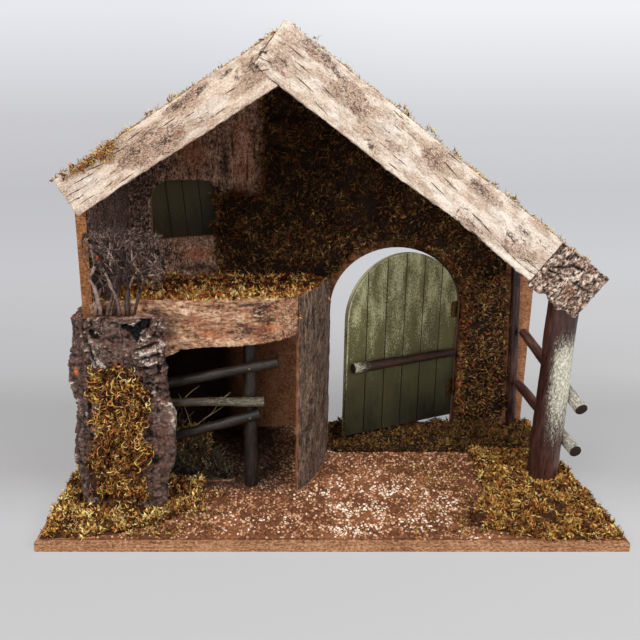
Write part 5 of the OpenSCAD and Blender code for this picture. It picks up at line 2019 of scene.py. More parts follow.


# Rows with a deep negative lift and dark 1 are holes whose shade is painted near-black.
PIER_SPOTS = ovals(
    (-214, 158, 7, 15, 2.2, 0, 0.5, 0.9), (-213, 163, 3, 7, 0.5, 0, 0.9, 0.5, 20),
    (-207, 160, 2.2, 19, -3.5, 1, 0, 0.5, 16), (-216, 183, 9, 6, 3, 0, 0.35, 0.9),
    (-208, 179, 7, 1.6, -2.5, 0.9, 0, 0.5, 25), (-204.4, 172.5, 2.2, 6, -5, 1, 0, 0.3, 32),
    (-202, 180, 8, 2, 0.8, 0, 0.8, 0.9), (-170, 172, 17, 13, 1.6, 0, 0.55, 0.9),
    (-149, 178, 11, 9, 1.8, 0, 0.75, 0.9), (-234, 62, 16, 44, 4.5, 0, 0, 0.9),
    (-234, 132, 14, 34, 3.6, 0, 0, 0.9), (-222, 22, 12, 12, 3, 0, 0, 0.9),
    (-156, 184, 2.2, 6, -3, 0.9, 0, 0.5, -12), (-168, 176, 16, 14, 1.6, 0, 0, 0.9),
    (-158, 158, 20, 2, 2.6, 0, 0.95, 0.8, 24), (-158, 163, 16, 1.5, -2.6, 0.9, 0, 0.5, 22),
    (-154, 149, 20, 2, 2.4, 0, 0.9, 0.8, 18), (-155, 154, 17, 1.4, -2.4, 0.9, 0, 0.5, 20),
    (-152, 140, 16, 1.8, 1.8, 0, 0.7, 0.8, 12), (-152, 144, 13, 1.2, -1.8, 0.75, 0, 0.5, 14),
    (-149, 131, 13, 1.4, 1.4, 0, 0.5, 0.8, 5), (-147, 122, 11, 1.2, -1.6, 0.7, 0, 0.5, -18),
    (-142, 150, 2.4, 8, -4, 1, 0, 0.5, 12), (-138.5, 158, 2, 10, 1.2, 0, 0.9, 0.8, 4),
    (-138.5, 128, 1.8, 14, 1.2, 0, 0.8, 0.8), (-138.5, 96, 1.8, 9, 1, 0, 0.8, 0.8),
    (-141, 132, 1.4, 7, -2, 0.9, 0, 0.5, 12), (-152, 107, 14, 1.4, 0.9, 0, 0.55, 0.8, -4),
    (-152, 92, 13, 1, -1, 0.6, 0, 0.5, 3), (-152, 78, 14, 1, -0.9, 0.5, 0, 0.5, -4),
    (-162, 88, 3.5, 15, -3, 0.85, 0, 0.9, 12), (-163, 64, 5, 11, -3.5, 0.85, 0, 0.9, 18),
    (-156, 55, 8, 4, -4, 1, 0, 0.5, 4), (-150, 67, 9, 2, 1.4, 0, 0.3, 0.5, 8),
    (-211, 108, 2.2, 22, -3, 0.85, 0, 0.9, -4), (-218, 100, 1.6, 12, -2, 0.6, 0, 0.9, 6),
    (-204, 88, 10, 1.4, 1.2, 0, 0.35, 0.5, 10), (-226, 138, 3, 6, 0.5, 0, 0, 0.6, 0, 0, 1),
    (-222, 84, 2.4, 5, 0.8, 0, 0.95, 0.5, 12), (-223, 112, 1.8, 2.4, 0.5, 0, 0.9),
    (-212, 36, 7, 3, 0.8, 0, 0.7, 0.9, 30), (-214, 24, 8, 3, 0.6, 0, 0.4, 0.9),
    (-146, 30, 8, 4, -1.2, 0.7, 0, 0.5, -30), (-172, 178.6, 7.2, 4.2, -5, 1, 0, 0.3, -12),
    (-161.6, 182, 4.4, 7.4, -5, 1, 0, 0.3, -22), (-166.8, 174.6, 6.4, 5.6, -4, 1, 0, 0.3),
    (-167, 169.6, 3.4, 5.4, -4, 1, 0, 0.3, 6),
)


@dataclass
class CornerPier:
    """The thick slab of bark bent round the front of the left wall."""

    left_x_mm: float = -228.8
    front_y_mm: float = -70.9
    radius_mm: float = 23

    def bent(self, place: Vector) -> Vector:
        """Length round the corner, height and depth; on the front the length is X.

        Args:
            place: A place in metres.

        Returns:
            The three measures in metres.
        """
        centre = (self.left_x_mm + self.radius_mm, self.front_y_mm + self.radius_mm)
        x, y = place.x / MM - centre[0], place.y / MM - centre[1]
        if x > 0:
            return Vector((place.x, place.z, y * MM))
        if y > 0:
            return Vector(((centre[0] - self.radius_mm * pi / 2 - y) * MM, place.z, x * MM))
        angle = atan2(-x, -y)
        away = -hypot(x, y) * MM
        return Vector(((centre[0] - self.radius_mm * angle) * MM, place.z, away))

    def relief(self, local: Vector, normal: Vector) -> Marks:
        """Plates with dark cracks between them and crust on their edges.

        Args:
            local: The place, measured by the fibre.
            normal: Where it faces.

        Returns:
            Its lift and marks.
        """
        warp = Vector((fbm(local, 26, 2) * 9, fbm(local + Vector((3, 0, 0)), 20, 2) * 7, 0)) * MM
        warped = Vector((local.x * 0.8, local.y * 0.6, 0)) + warp
        plate = fbm(warped, 17, 4)
        small = fbm(Vector((local.x * 0.6, local.y, 4)) + warp * 0.5, 6, 4)
        crack = 1 - smooth(abs(plate), 0.0, 0.08)
        split = 1 - smooth(abs(small), 0.0, 0.1)
        fine = fbm(local, 2.8, 4)
        flat = smooth(local.x, -0.185, -0.165) * smooth(local.y, 0.12, 0.09)
        high = 0.5 + plate * 0.35 + small * 0.3 + fine * 0.25
        high -= (crack * 0.55 + split * 0.25) * (1 - flat * 0.6)
        high = clamp(high)
        fold = fbm(Vector((local.x * 0.9, local.y * 0.45, 2)) + warp * 0.6, 30, 2)
        marks = Marks((high - 0.62) * (5.0 - flat * 2) + fold * 1.6, high)
        apply(PIER_SPOTS, local.x, local.y, marks)
        fold_here = smooth(local.x, -0.172, -0.16) * smooth(local.y, 0.115, 0.13)
        marks.lift_mm *= 1 + 0.45 * fold_here
        top = smooth(normal.z, 0.5, 0.9)
        marks.red = max(marks.red, top * 0.14)
        marks.pale *= 1 - top
        marks.lift_mm = marks.lift_mm * (1 - top) + top * (fine * 0.8 - 0.5)
        return marks

    def build(self) -> None:
        """Bark and moss."""
        mesh = weather("corner_pier", 1.05, self.bent, self.relief)
        piece("corner_pier_bark", mesh, [PIER_BARK], ["corner_pier"])
        shape = TuftShape(
            blades=5, length_mm=10.5, width_mm=0.76, lean=1.0, curl=1.45, flat=0.8, steps=4,
            spread_mm=2.6,
        )

        def curls(place: Vector) -> float:
            """Gaps between the curls and a ragged outline.

            Args:
                place: A place in metres.

            Returns:
                Share of curls that grow there.
            """
            wavy = place.x + fbm(Vector((0, 0, place.z)), 26, 3) * 9 * MM
            sides = smooth(wavy, -0.214, -0.202) * smooth(wavy, -0.153, -0.163)
            return smooth(fbm(place, 9, 3), -0.22, 0.12) * sides

        MossBed(
            "pier_moss", MOSS_PIER, 720, FRONT, shape, seed=21, reach=-0.1,
            lump_mm=3.4, density=curls, thin=lambda place: 0.1 + 0.9 * curls(place), voxel_mm=2.0,
            tidy=lambda place: Vector((place.x, place.y, max(place.z, 9 * MM))),
        ).build()


SHEET_SPOTS = ovals(
    (-192, 262, 30, 70, 0.3, 0.4), (-136, 322, 24, 26, 0.2, 0, 0, 0.9, 0, 0, 0.5),
    (-126, 312, 12, 14, 0.3, 0, 0.25, 0.9), (-140, 303, 1, 8, -1.2, 1, 0, 0.5, 18),
    (-133, 331, 1, 12, -1, 0.8, 0, 0.5, -4), (-124, 330, 1.2, 14, -0.8, 0.7, 0, 0.5, 3),
    (-101, 312, 6.5, 42, -0.5, 0.8, 0, 0.9), (-98, 296, 5, 8, 0.3, 0, 0.7, 0.9),
    (-82, 322, 16, 52, 0.3, 0, 0.95, 0.7, 0, 0, 0.5), (-134, 312, 16, 16, 0.2, 0, 0.4, 0.9),
    (-93, 330, 1.2, 30, -1, 0.75, 0, 0.5, 3), (-78, 300, 1.2, 24, -1, 0.7, 0, 0.5, -2),
    (-70, 330, 1.4, 34, -1, 0.7, 0, 0.5, 2), (-183.4, 259, 1.3, 26, 0.5, 0, 0.95, 0.4),
    (-148, 293.6, 28, 1.2, 0.4, 0, 0.75, 0.4), (-90, 258, 20, 26, -0.2, 0.75, 0, 0.9),
    (-106, 262, 4, 14, 0, 0, 0, 0.9, 0, 0, 0.6), (-134, 214, 26, 10, 0.3, 0, 0, 0.9, 0, 0, 0.6),
    (-176, 210, 22, 16, 0, 0.7, 0, 0.9), (-132, 198, 40, 6, 0, 0.75, 0, 0.9),
)


@dataclass
class Walls:
    """Panels of softboard, the bark sheets and the moss on the back wall."""

    def sheet(self, local: Vector, normal: Vector) -> Marks:
        """Vertical grain beside the window, flaky bark to its left.

        Args:
            local: The place, measured by the fibre.
            normal: Where it faces.

        Returns:
            Its lift and marks.
        """
        flaky = smooth(local.x, -0.155, -0.175)
        upright = ridged(Vector((local.x, local.z * 0.12, 0)), 4.4, 4)
        flakes = fbm(local, 2.6, 5)
        plate = fbm(Vector((local.x, local.z * 0.6, 3)), 7, 3)
        high = 0.25 + upright * 0.4 + flakes * 0.3 + plate * 0.2
        high = high * (1 - flaky) + (0.3 + flakes * 0.75) * flaky
        high = clamp(high)
        marks = Marks((high - 0.5) * (1.6 + flaky * 1.4) if normal.y < -0.2 else 0.0, high)
        return apply(SHEET_SPOTS, local.x, local.z, marks)

    def side_sheet(self, local: Vector, normal: Vector) -> Marks:
        """Coarse dark bark.

        Args:
            local: The place, measured by the fibre.
            normal: Where it faces; not used.

        Returns:
            Its lift and marks.
        """
        plate = fbm(Vector((local.x, local.y, local.z * 0.5)), 9, 4)
        flakes = fbm(local, 3, 4)
        high = clamp(0.45 + plate * 0.4 + flakes * 0.4)
        return Marks((high - 0.6) * 2.2, high)

    def bare(self, place: Vector) -> float:
        """Moss is thinner in patches."""
        return 0.55 + 0.45 * smooth(fbm(place, 14, 2), -0.5, 0.1)

    def clear_of_door(self, place: Vector) -> Vector:
        """Keep strands out of the way of the door and outside the arch.

        Args:
            place: A point of a strand.

        Returns:
            The point, moved forward or outward where it has to be.
        """
        near = smooth(place.x, 0.0, 0.02) * smooth(place.x, 0.175, 0.157)
        low = smooth(place.z, 0.245, 0.225)
        limit = 0.0985 + 0.0055 * near * low
        across, above = (place.x - ARCH_X) / 0.0728, max(place.z - ARCH_Z, 0) / 0.0688
        away = hypot(across, above)
        out = 1 / away if 0.01 < away < 1 else 1.0
        x = ARCH_X + (place.x - ARCH_X) * out
        z = place.z + max(place.z - ARCH_Z, 0) * (out - 1)
        return Vector((x, max(place.y, limit), z))

    def build(self) -> None:
        """Everything on the walls."""
        for node in ("base_board", "roof_left", "roof_right"):
            dress(node, BOARD)
        dress("back_wall", BOARD_WALL)
        dress("left_wall", BOARD_PLAIN)
        mesh = weather("wall_bark", 1.0, lambda place: place.copy(), self.sheet)
        piece("wall_bark_sheet", mesh, [WALL_BARK], ["wall_bark"])
        mesh = weather("side_bark", 1.4, lambda place: place.copy(), self.side_sheet)
        piece("side_bark_sheet", mesh, [SIDE_BARK], ["side_bark"])
        shape = TuftShape(
            blades=7, length_mm=8.5, width_mm=0.6, lean=1.5, curl=0.9, flat=0.8, spread_mm=2.4
        )
        draw = random.Random(33)
        sprigs = []
        for x, z, wide, high, way, count in (
            (-87, 275, 26, 5, (0, -0.4, 0.5), 44),
            (-61, 330, 4, 52, (-0.7, -0.4, 0), 52),
            (-110, 232, 4, 42, (-0.7, -0.4, 0), 44),
            (168, 162, 8, 43, (0.1, -0.7, 0.3), 34),
            (162.4, 86, 4.6, 68, (-0.1, -0.4, 0), 190),
            (6, 84, 4.5, 66, (0.2, -0.4, 0), 70),
        ):
            for _ in range(count):
                place = (x + draw.uniform(-wide, wide), 105.5, z + draw.uniform(-high, high))
                lean = (way[0] + draw.uniform(-0.5, 0.5), way[1], way[2] + draw.uniform(-0.6, 0.6))
                sprigs.append(Sprig(place, lean, draw.uniform(0.6, 1.0), draw.random() ** 9))
        for _ in range(190):
            angle = radians(draw.triangular(-4, 128, 30))
            off = draw.uniform(1.0, 1.14)
            x, z = 85 + 73 * off * cos(angle), 152 + 69 * off * sin(angle)
            way = (draw.uniform(-0.7, 0.7), -0.35, draw.uniform(-0.7, 0.7))
            sprigs.append(Sprig((x, 108, z), way, draw.uniform(0.4, 0.75)))
        for x, z, scale in ((159, 140, 1.3), (162, 134, 1.1), (158.5, 145, 0.9), (166, 152, 1.0)):
            sprigs.append(Sprig((x, 104.5, z), (-0.6, -0.6, -0.5), scale, 1.0))
        MossBed(
            "wall_moss", MOSS_WALL_SHADED, 1950, FRONT, shape, seed=31, voxel_mm=3.8,
            sprigs=sprigs, density=self.bare, tidy=self.clear_of_door, lump_mm=2.2,
        ).build()


ROOF_SPRIGS = {
    Slope.RIGHT: (
        (25, -3, 0.9), (31, -1, 0.7), (53, -1, 0.8), (57, 0, 0.8), (84, -1, 0.7), (112, -3, 1.0),
        (117, -2, 0.8), (140, -3, 0.9), (144, -2, 0.8), (150, -1, 0.9), (165, -2, 1.0),
        (169, -1, 0.8), (200, 0, 0.8), (208, -1, 0.9), (228, -2, 1.0), (234, -1, 0.9),
        (242, 0, 0.8), (262, -1, 0.9), (285, -1, 0.8), (300, 0, 0.8), (313, -1, 0.9),
    ),
    Slope.LEFT: (
        (30, 1, 0.9), (52, 1, 0.7), (78, 1, 1.0), (91, 0, 1.0), (96, 1, 0.8), (109, -2, 1.0),
        (112, -1, 0.9), (131, -2, 1.0), (136, 0, 0.9), (152, 0, 1.0), (158, 0, 1.0),
        (165, 1, 1.1), (171, 1, 1.1), (177, 2, 1.1), (184, 2, 1.1), (190, 3, 1.0),
        (196, 3, 1.1), (203, 3, 1.1), (210, 2, 1.0), (222, 1, 1.0), (226, 0, 0.9),
    ),
}
HANGING = (
    (168, 3), (171, 5), (174, 9), (176, 12), (178, 6), (181, 8), (184, 5), (188, 6), (192, 5),
    (196, 4), (200, 5), (204, 4), (209, 3), (216, 2),
)


@dataclass
class RoofMoss:
    """Moss on both slopes, low at the front edge behind the fascia boards."""

    line: Roofline = field(default_factory=Roofline)

    def thin(self, place: Vector) -> float:
        """Share of the full depth that is left at a place."""
        return 0.3 + 0.6 * smooth(place.y, -0.05, 0.0)

    def sparse(self, place: Vector) -> float:
        """Few clumps along the front edge."""
        return 0.25 + 0.75 * smooth(place.y, -0.052, -0.03)

    def trimmed(self, place: Vector) -> Vector:
        """Keep a strand below the ridge line and in front of the rear edge."""
        return Vector((place.x, min(place.y, EDGE_Y), min(place.z, RIDGE_TOP)))

    def sprigs(self, slope: Slope) -> list[Sprig]:
        """Bits that stand above the boards, a low row, and on the left some that hang over.

        Args:
            slope: The slope that they grow on.

        Returns:
            The bits.
        """
        draw = random.Random(44 + slope.value)
        found = []
        for run, depth, scale in ROOF_SPRIGS[slope]:
            for _ in range(2):
                spot = self.line.spot(slope, run + draw.uniform(-2, 2), depth, -54.5)
                way = (slope.value * draw.uniform(-0.3, 0.9), draw.uniform(-0.8, 0.1), 1.0)
                found.append(Sprig(spot, way, scale * draw.uniform(0.7, 1.1)))
        for _ in range(190 if slope is Slope.RIGHT else 150):
            run = draw.uniform(14, 330) if slope is Slope.RIGHT else draw.triangular(30, 226, 200)
            if fbm(Vector((run, 5, 0)) * MM, 16, 2) > -0.1:
                spot = self.line.spot(slope, run, draw.uniform(-0.4, 0.8), draw.uniform(-58, -52))
                way = (slope.value * draw.uniform(-0.5, 1.0), draw.uniform(-0.7, 0.3), 1.0)
                found.append(Sprig(spot, way, draw.uniform(0.25, 0.55), draw.random() ** 3))
        if slope is Slope.LEFT:
            for run, depth in HANGING:
                for _ in range(5):
                    low = draw.uniform(0.2, 1.0) * depth
                    spot = self.line.spot(slope, run + draw.uniform(-2, 2), low, -60.5)
                    way = (draw.uniform(-0.7, 0.7), -0.6, draw.uniform(-0.9, 0.3))
                    found.append(Sprig(spot, way, draw.uniform(0.6, 1.2), draw.random() ** 4))
        return found

    def build(self) -> None:
        """Both slopes."""
        shape = TuftShape(
            blades=5, length_mm=7.5, width_mm=0.56, lean=1.3, curl=1.15, steps=3, spread_mm=2.6
        )
        for slope, pitch, count, seed in (
            (Slope.LEFT, self.line.left_pitch, 1100, 41),
            (Slope.RIGHT, self.line.right_pitch, 1450, 42),
        ):
            angle = radians(pitch)
            up = Vector((slope.value * sin(angle), 0, cos(angle)))
            MossBed(
                "roof_moss_" + slope.name.lower(), MOSS_ROOF, count, up, shape, seed=seed,
                voxel_mm=3.8, thin=self.thin, density=self.sparse, sprigs=self.sprigs(slope),
                tidy=self.trimmed,
            ).build()


@dataclass
class Ground:
    """Moss beds and gravel on the base board."""

    stones: int = 7600
    door_foot_mm: float = 23.5
    drifts: tuple[Scratch, ...] = (
        (-12, -46, 22, 17), (80, -94, 30, 20), (28, -74, 40, 18), (60, -40, 26, 16),
        (108, -60, 22, 26), (-50, -92, 26, 10), (16, -106, 30, 10),
    )

    def low(self, place: Vector) -> float:
        """Moss is low near the front edge and higher further back, in patches."""
        back = smooth(place.y, -0.118, -0.07)
        return clamp(0.4 + 0.38 * back + 0.35 * fbm(place, 22, 2), 0.2, 1.0)

    def patchy(self, place: Vector) -> float:
        """Clumps with gaps between them."""
        return 0.1 + 0.9 * smooth(fbm(place, 9, 3), -0.25, 0.2)

    def build(self) -> None:
        """All beds."""
        shape = TuftShape(
            blades=8, length_mm=6.5, width_mm=0.8, lean=1.45, curl=1.1, flat=0.6, spread_mm=2.2
        )
        for node, finish, count, seed, tidy, loose in (
            ("ground_moss_left", MOSS_LIT, 1750, 51, self.on_board, -150),
            ("ground_moss_right", MOSS_LIT, 1650, 52, self.on_board, 134),
            ("ground_moss_back", MOSS_BACK_SHADED, 1150, 53, self.under_door, 0),
        ):
            MossBed(
                node, finish, count, UP, shape, thin=self.low, density=self.patchy,
                seed=seed, lump_mm=3.0, tidy=tidy, sprigs=self.strewn(loose, seed),
            ).build()
        self.gravel()

    def strewn(self, middle_mm: float, seed: int) -> list[Sprig]:
        """Loose bits that lie on the gravel beside a bed; none if the middle is 0.

        Args:
            middle_mm: X of the strip that they lie on.
            seed: Seed of the random numbers.

        Returns:
            The bits.
        """
        draw = random.Random(seed)
        found = []
        while middle_mm and len(found) < 190:
            x = middle_mm - copysign(draw.gauss(14, 22), middle_mm)
            y = draw.uniform(-122, -48 if middle_mm < 0 else 30)
            shift = (y + 75) * (0.55 if middle_mm < 0 else 0.1)
            if abs(x) < abs(middle_mm) + 30:
                way = (draw.uniform(-1, 1), draw.uniform(-1, 1), 0.7)
                found.append(Sprig((x + shift, y, 12.6), way, draw.uniform(0.3, 0.8)))
        return found

    def under_door(self, place: Vector) -> Vector:
        """Keep a strand below the door where it swings, and on the board.

        Args:
            place: A point of the strand.

        Returns:
            The point, lowered where it has to be.
        """
        off = Vector((place.x - HINGE_X, place.y - HINGE_Y, 0)).length
        free = smooth(off, 0.15, 0.155)
        low = self.door_foot_mm * MM
        return self.on_board(Vector((place.x, place.y, min(place.z, low + free * 20 * MM))))

    def on_board(self, place: Vector) -> Vector:
        """Keep a strand within the edges of the base board and above its underside."""
        x, y = clamp(place.x, -EDGE_X, EDGE_X), clamp(place.y, -EDGE_Y, EDGE_Y)
        return Vector((x, y, max(place.z, 0.0075)))

    def gravel(self) -> None:
        """A sandy bed with loose stones on it."""
        bm = shell_of("gravel_bed", 3.0)
        tones = layer(bm, "tone")
        pales = layer(bm, "pale")
        for vert in bm.verts:
            vert[tones] = 0.12
            vert[pales] = 0.0
            if vert.normal.z > 0.3:
                vert.co.z += (fbm(vert.co, 9, 4) * 1.0 - 1.6) * MM
        base = release(bm, "gravel_base")
        stamps = Stamps(61)
        stamps.bm.from_mesh(base)
        variants = []
        for index in range(16):
            stone = bmesh.new()
            tone = layer(stone, "tone")
            pale = layer(stone, "pale")
            bmesh.ops.create_icosphere(stone, subdivisions=1, radius=1.15 * MM)
            for vert in stone.verts:
                vert[tone] = (index * 0.381) % 1.0
                vert[pale] = 0.2
                vert.co *= 1 + 0.45 * noise.noise(vert.co / MM + Vector((index, 0, 0)))
                vert.co.z *= 0.75
            variants.append(release(stone, "stone"))

        def weight(place: Vector, normal: Vector) -> float:
            """Stones lie on the top only, in drifts."""
            return 0.25 + smooth(fbm(place, 11, 2), -0.4, 0.3) if normal.z > 0.6 else 0.0

        stamps.over(base, variants, self.stones, weight, (0.4, 1.3), -0.2)
        bpy.data.meshes.remove(base)
        pale = stamps.bm.verts.layers.float["pale"]
        for vert in stamps.bm.verts:
            vert.co = self.on_board(vert.co)
            if vert[pale] > 0:
                x, y = vert.co.x / MM, vert.co.y / MM
                away = [hypot((x - a) / u, (y - b) / v) for a, b, u, v in self.drifts]
                vert[pale] += 0.75 * smooth(min(away), 1.3, 0.3)
        mesh = stamps.mesh("gravel_bed_stones")
        piece("gravel_bed_stones", mesh, [GRAVEL], ["gravel_bed"], soft=False)


@dataclass
class Brushwood:
    """Dry branching twigs on top of the corner pier."""

    foot_z_mm: float = 188.6
    left_x_mm: float = -206
    under_ridge_mm: float = 400
    thinnest_mm: float = 0.36
    levels: int = 5
    stems: tuple[Scratch, ...] = (
        (-196.6, -62.5, -4, 2.2), (-186.0, -62.7, 2, 2.1), (-174.3, -62.5, 8, 2.3),
        (-191.4, -66.3, 5, 1.7), (-180.3, -66.1, 12, 1.8), (-168.5, -63.5, 24, 1.5),
        (-201.0, -65.5, 2, 1.5),
    )

    def grow(
        self, stamps: Stamps, spot: Vector, way: Vector, length: float, radius: float, level: int
    ) -> None:
        """One twig and those that fork from it.

        Args:
            stamps: Collects the twigs.
            spot: Where the twig starts.
            way: Its direction.
            length: Its length in metres.
            radius: Its radius in metres.
            level: How many times it may still fork.
        """
        draw = stamps.random
        points, here = [spot], spot
        for _ in range(3):
            sway = 0.4 if level < self.levels else 0.22
            way = (way + Vector([draw.uniform(-sway, sway) for _ in range(3)])).normalized()
            here = here + way * length / 3
            points.append(here)
        radius = max(radius, self.thinnest_mm * MM)
        ends = (radius, radius * 0.9, radius * 0.92, radius * 0.82 if level else 0)
        sides = 8 if level > 3 else 5 if level > 1 else 4
        tone = draw.random() ** 2 if level > 2 else draw.random()
        stamps.add(tube(points, ends, sides, tone))
        if not level:
            return
        forks = [(0.25, 0.82, 0.74), (-0.7, 0.74, 0.56)]
        if level < 4 and draw.random() < 0.6:
            forks.append((1.1, 0.66, 0.45))
        for turn, share, thin in forks:
            spin = draw.uniform(0, tau)
            side = way.orthogonal().normalized()
            side.rotate(Matrix.Rotation(spin, 3, way))
            side = (side * Vector((1, 0.5, 1)) + Vector((0.05, 0.05, 0))).normalized()
            out = (way + side * (abs(turn) + draw.uniform(0, 0.3))).normalized()
            out = (out + Vector((0, 0, 0.14))).normalized()
            self.grow(stamps, here, out, length * share, radius * thin, level - 1)

    def build(self) -> None:
        """All the stems, kept inside the solid's box."""
        corners = [vert.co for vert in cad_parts["brushwood"].data.vertices]
        low = Vector([min(corner[axis] for corner in corners) for axis in range(3)])
        high = Vector([max(corner[axis] for corner in corners) for axis in range(3)])
        stamps = Stamps(74)
        draw = stamps.random
        for x, y, lean, radius in self.stems:
            way = Vector((sin(radians(lean)), 0, cos(radians(lean))))
            spot = Vector((x, y, self.foot_z_mm)) * MM
            self.grow(stamps, spot, way, draw.uniform(22, 29) * MM, radius * MM, self.levels)
        leaf = layer(stamps.bm, "leaf")
        known = len(stamps.bm.verts)
        for spot, wide in ((Vector((-194.4, -70, 240)), 2.4), (Vector((-193, -69.6, 237)), 1.7)):
            points = [(spot + Vector((step, -0.4 * step, 2.6 * step))) * MM for step in (-1, 0, 1)]
            stamps.add(tube(points, [0.4 * MM, wide * MM, 0], 6, 0.5, 0.2))
        stamps.bm.verts.ensure_lookup_table()
        for vert in stamps.bm.verts[known:]:
            vert[leaf] = 1.0
        left = max(low.x, self.left_x_mm * MM)
        line = Roofline()
        for vert in stamps.bm.verts:
            place = vert.co
            for axis, least, most in ((0, left, high.x), (1, low.y, high.y), (2, low.z, high.z)):
                place[axis] = least + abs(place[axis] - least)
                place[axis] = most - abs(most - place[axis])
            off_ridge = line.ridge_x_mm - place.x / MM
            roof = self.under_ridge_mm - off_ridge * tan(radians(line.left_pitch))
            top = min(high.z, roof * MM)
            x, y = clamp(place.x, left, high.x), clamp(place.y, low.y, high.y)
            vert.co = Vector((x, y, clamp(place.z, low.z, top)))
        piece("brushwood_twigs", stamps.mesh("brushwood_twigs"), [TWIG], ["brushwood"])


@dataclass
class DoorAndWindow:
    """Painted door and shutter, the branch across the door and the ironware."""

    axis_mm: Point = (156.4, 108.9, 0)
    ajar: float = 25

    def build(self) -> None:
        """Door, shutter, bar and hinges."""
        pivot = tuple(value * MM for value in self.axis_mm)
        dress("door", GreenPaint("door_paint", turn=self.ajar, pivot=pivot))
        # The shutter's paint is a darker copy of the door's: the shade behind the window painted
        # in.
        paint = GreenPaint(
            "shutter_paint_shaded", rgb(70, 62, 28), rgb(54, 46, 22), groove=rgb(8, 7, 4),
            groove_depth_mm=119.35, foot_mm=228, head_mm=292, brush_share=0.05,
        )
        dress("window_shutter", paint)
        Branch(
            "door_bar", (19.2, 105.75, 102), (151.8, 106.6, 102), 10.5, 8.8, BAR_BARK, sides=20,
            knots=[Knot(34, -90, 7, 0.8), Knot(98, -60, 6, 0.7)],
            cuts=[((85, 110.9, 102), (-sin(0.4363), cos(0.4363), 0))],
            lichen=lambda local: smooth(local.z, 0.03, 0.0) * 0.9, turn=self.ajar, body="door",
            pivot_mm=self.axis_mm,
        ).build()
        for node in ("door_hinge_leaves", "wall_hinge_leaves", "hinge_pins"):
            dress(node, BRASS)
        for node in ("door_bar_nails", "rail_nails", "stall_nails", "base_screws", "loft_screws"):
            dress(node, STEEL)


@dataclass
class Posts:
    """Posts and rails of the open right side and of the stall."""

    def build(self) -> None:
        """Every branch."""

        eave = (sin(0.6388), 0, cos(0.6388))

        def crust(local: Vector) -> float:
            """Crust on the right side of the front post.

            Args:
                local: Off the middle line, and along it.

            Returns:
                Share of crust.
            """
            outward = Vector((local.x, local.y, 0)).normalized()
            side = smooth(outward.dot(Vector((0.5, -0.87, 0))), -0.15, 0.95)
            return side * smooth(local.z, 0.0, 0.12) * smooth(local.z, 0.172, 0.12) * 1.3

        def near_end(local: Vector) -> float:
            """Pale bark towards the front end of a side rail."""
            return smooth(local.z, 0.06, 0.012) * 0.95

        def mid_pale(local: Vector) -> float:
            """A pale stretch on the right half of the middle rail."""
            return smooth(local.z, 0.07, 0.11) * 0.5 + smooth(local.z, 0.02, 0.005) * 0.4

        for branch in (
            Branch(
                "front_post", (217.5, -12, 8), (220.7, -12, 222), 28.4, 27.6,
                POST_BARK, 64, 0.4, 0.8,
                [Knot(98, -70, 12, 1.0), Knot(104, 20, 9, 0.8), Knot(30, -120, 8, 0.6)],
                [((220, -12, 216.6), eave)], crust,
            ),
            Branch(
                "back_post", (225, 105.2, 8), (213.4, 105.2, 224), 11, 10,
                BACK_BARK, 28, 0.2, 0.3, [Knot(60, -80, 6, 0.6)], [((215, 105.2, 215.6), eave)],
            ),
            Branch(
                "side_rail_upper", (241.2, -29, 88), (227, 99.4, 127),
                12, 10, RAIL_BARK, 28, 0.3, 0.5, [Knot(40, 90, 7, 0.8)],
                lichen=near_end,
            ),
            Branch(
                "side_rail_lower", (240.4, -29, 45), (227, 99.4, 66),
                12, 10, RAIL_BARK, 28, 0.3, 0.5, [Knot(70, 60, 7, 0.8)],
                lichen=near_end,
            ),
            Branch(
                "stall_post", (-71.5, -25, 8), (-71.5, -25, 172), 13.2, 13.2,
                STALL_BARK_SHADED, 32, 0.3, 0.4, [Knot(62, -60, 7, 0.7)],
            ),
            Branch(
                "stall_rail_upper", (-207.2, -36.2, 105),
                (-45, -36.2, 138), 7.6, 10.4, STALL_BARK_SHADED, 24, 0.5, 0.5,
            ),
            Branch(
                "stall_rail_mid", (-207.2, -35.9, 98),
                (-58, -35.9, 99), 6.5, 9.1, PALE_RAIL, 24, 0.4, 0.5, lichen=mid_pale,
            ),
            Branch(
                "stall_rail_lower", (-207.2, -36, 46),
                (-62, -36, 87), 7.1, 10, STALL_BARK_SHADED, 24, 0.4, 0.5,
            ),
        ):
            branch.build()


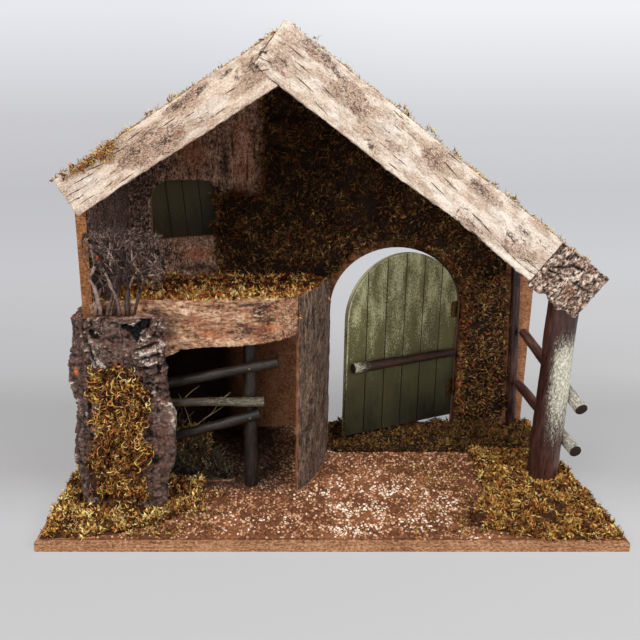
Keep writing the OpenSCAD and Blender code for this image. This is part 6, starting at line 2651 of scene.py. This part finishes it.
@dataclass
class Hay:
    """A tangle of stems behind the stall rails, near-black as the hay's own colour and painted
    shade, with some pale ones in front.
    """

    count: int = 560
    low_mm: Point = (-207, -17.9, 8.5)
    high_mm: Point = (-89.8, -6.1, 129)
    pale: tuple[Scratch, ...] = (
        (-176, 22, -96, 88), (-118, 74, -99, 98), (-112, 88, -91, 101), (-150, 40, -160, 70),
        (-190, 60, -150, 84), (-170, 96, -162, 70), (-140, 100, -128, 60), (-186, 20, -182, 52),
        (-200, 84, -170, 104), (-146, 76, -120, 108),
    )

    def stem(self, stamps: Stamps, start: Vector, end: Vector, radius: float, tone: float) -> None:
        """One bent stem between two places in mm.

        Args:
            stamps: Collects the stems.
            start: One end.
            end: The other end.
            radius: Its radius in mm.
            tone: Number from 0 to 1 that its finish reads.
        """
        draw = stamps.random
        bow = Vector((draw.uniform(-6, 6), 0, draw.uniform(-5, 5)))
        points = []
        for index in range(6):
            share = index / 5
            spot = start.lerp(end, share) + bow * sin(pi * share)
            for axis in range(3):
                spot[axis] = clamp(spot[axis], self.low_mm[axis], self.high_mm[axis])
            points.append(spot * MM)
        radii = [radius * MM] * 5 + [radius * MM * 0.4]
        stamps.add(tube(points, radii, 3, tone))

    def build(self) -> None:
        """Stems that lean and bend between the ground and the rails."""
        stamps = Stamps(81)
        draw = stamps.random
        bm = shell_of("hay", 2.6)
        tones = layer(bm, "tone")
        for vert in bm.verts:
            # Near-black cushion: the hay's colour with the stall's shade painted in.
            vert[tones] = 0.0
            vert.co += vert.normal * (fbm(vert.co, 10, 3) * 2.2 - 2.4) * MM
            share = clamp((vert.co.x / MM + 207) / 117)
            tall = 0.01 + 0.9 * (1 - share) ** 1.1
            vert.co.z = (8 - 1.6 * smooth(share, 0.6, 0.95)) * MM + (vert.co.z - 8 * MM) * tall
        base = release(bm, "hay_base")
        stamps.bm.from_mesh(base)
        bpy.data.meshes.remove(base)
        for _ in range(self.count):
            share = draw.random()
            x = -205 + share * 113
            top = 14 + (1 - share) ** 0.9 * 112
            z = draw.uniform(9, max(top, 12))
            y = draw.uniform(-17.8, -14)
            angle = draw.gauss(1.45, 0.75)
            length = draw.uniform(12, 38) * (1 - 0.5 * share)
            end = Vector((x + cos(angle) * length, y, z + sin(angle) * length))
            tone = 0.02 + draw.random() ** 5 * 0.34
            self.stem(stamps, Vector((x, y, z)), end, draw.uniform(0.25, 0.5), tone)
        for _ in range(90):
            x, y = draw.uniform(-122, -93), draw.uniform(-17.8, -8)
            far = Vector((x + draw.uniform(-14, 10), y + draw.uniform(-5, 5), 9.6))
            self.stem(stamps, Vector((x, y, 8.8)), far, 0.4, 0.02 + draw.random() ** 3 * 0.3)
        for x, z, far_x, far_z in self.pale:
            self.stem(stamps, Vector((x, -17.8, z)), Vector((far_x, -17.8, far_z)), 0.42, 0.8)
        piece("hay_stems", stamps.mesh("hay_stems"), [STRAW], ["hay"])


def main() -> None:
    """Build the stable from the ground up."""
    logging.basicConfig(level=logging.INFO, format="%(name)s: %(message)s")
    Studio().build()
    Walls().build()
    Ground().build()
    FasciaBoards().build()
    RoofMoss().build()
    Loft().build()
    CornerPier().build()
    Brushwood().build()
    DoorAndWindow().build()
    Posts().build()
    Hay().build()
    bpy.context.scene.view_settings.view_transform = "Standard"


if __name__ == "__main__":
    main()
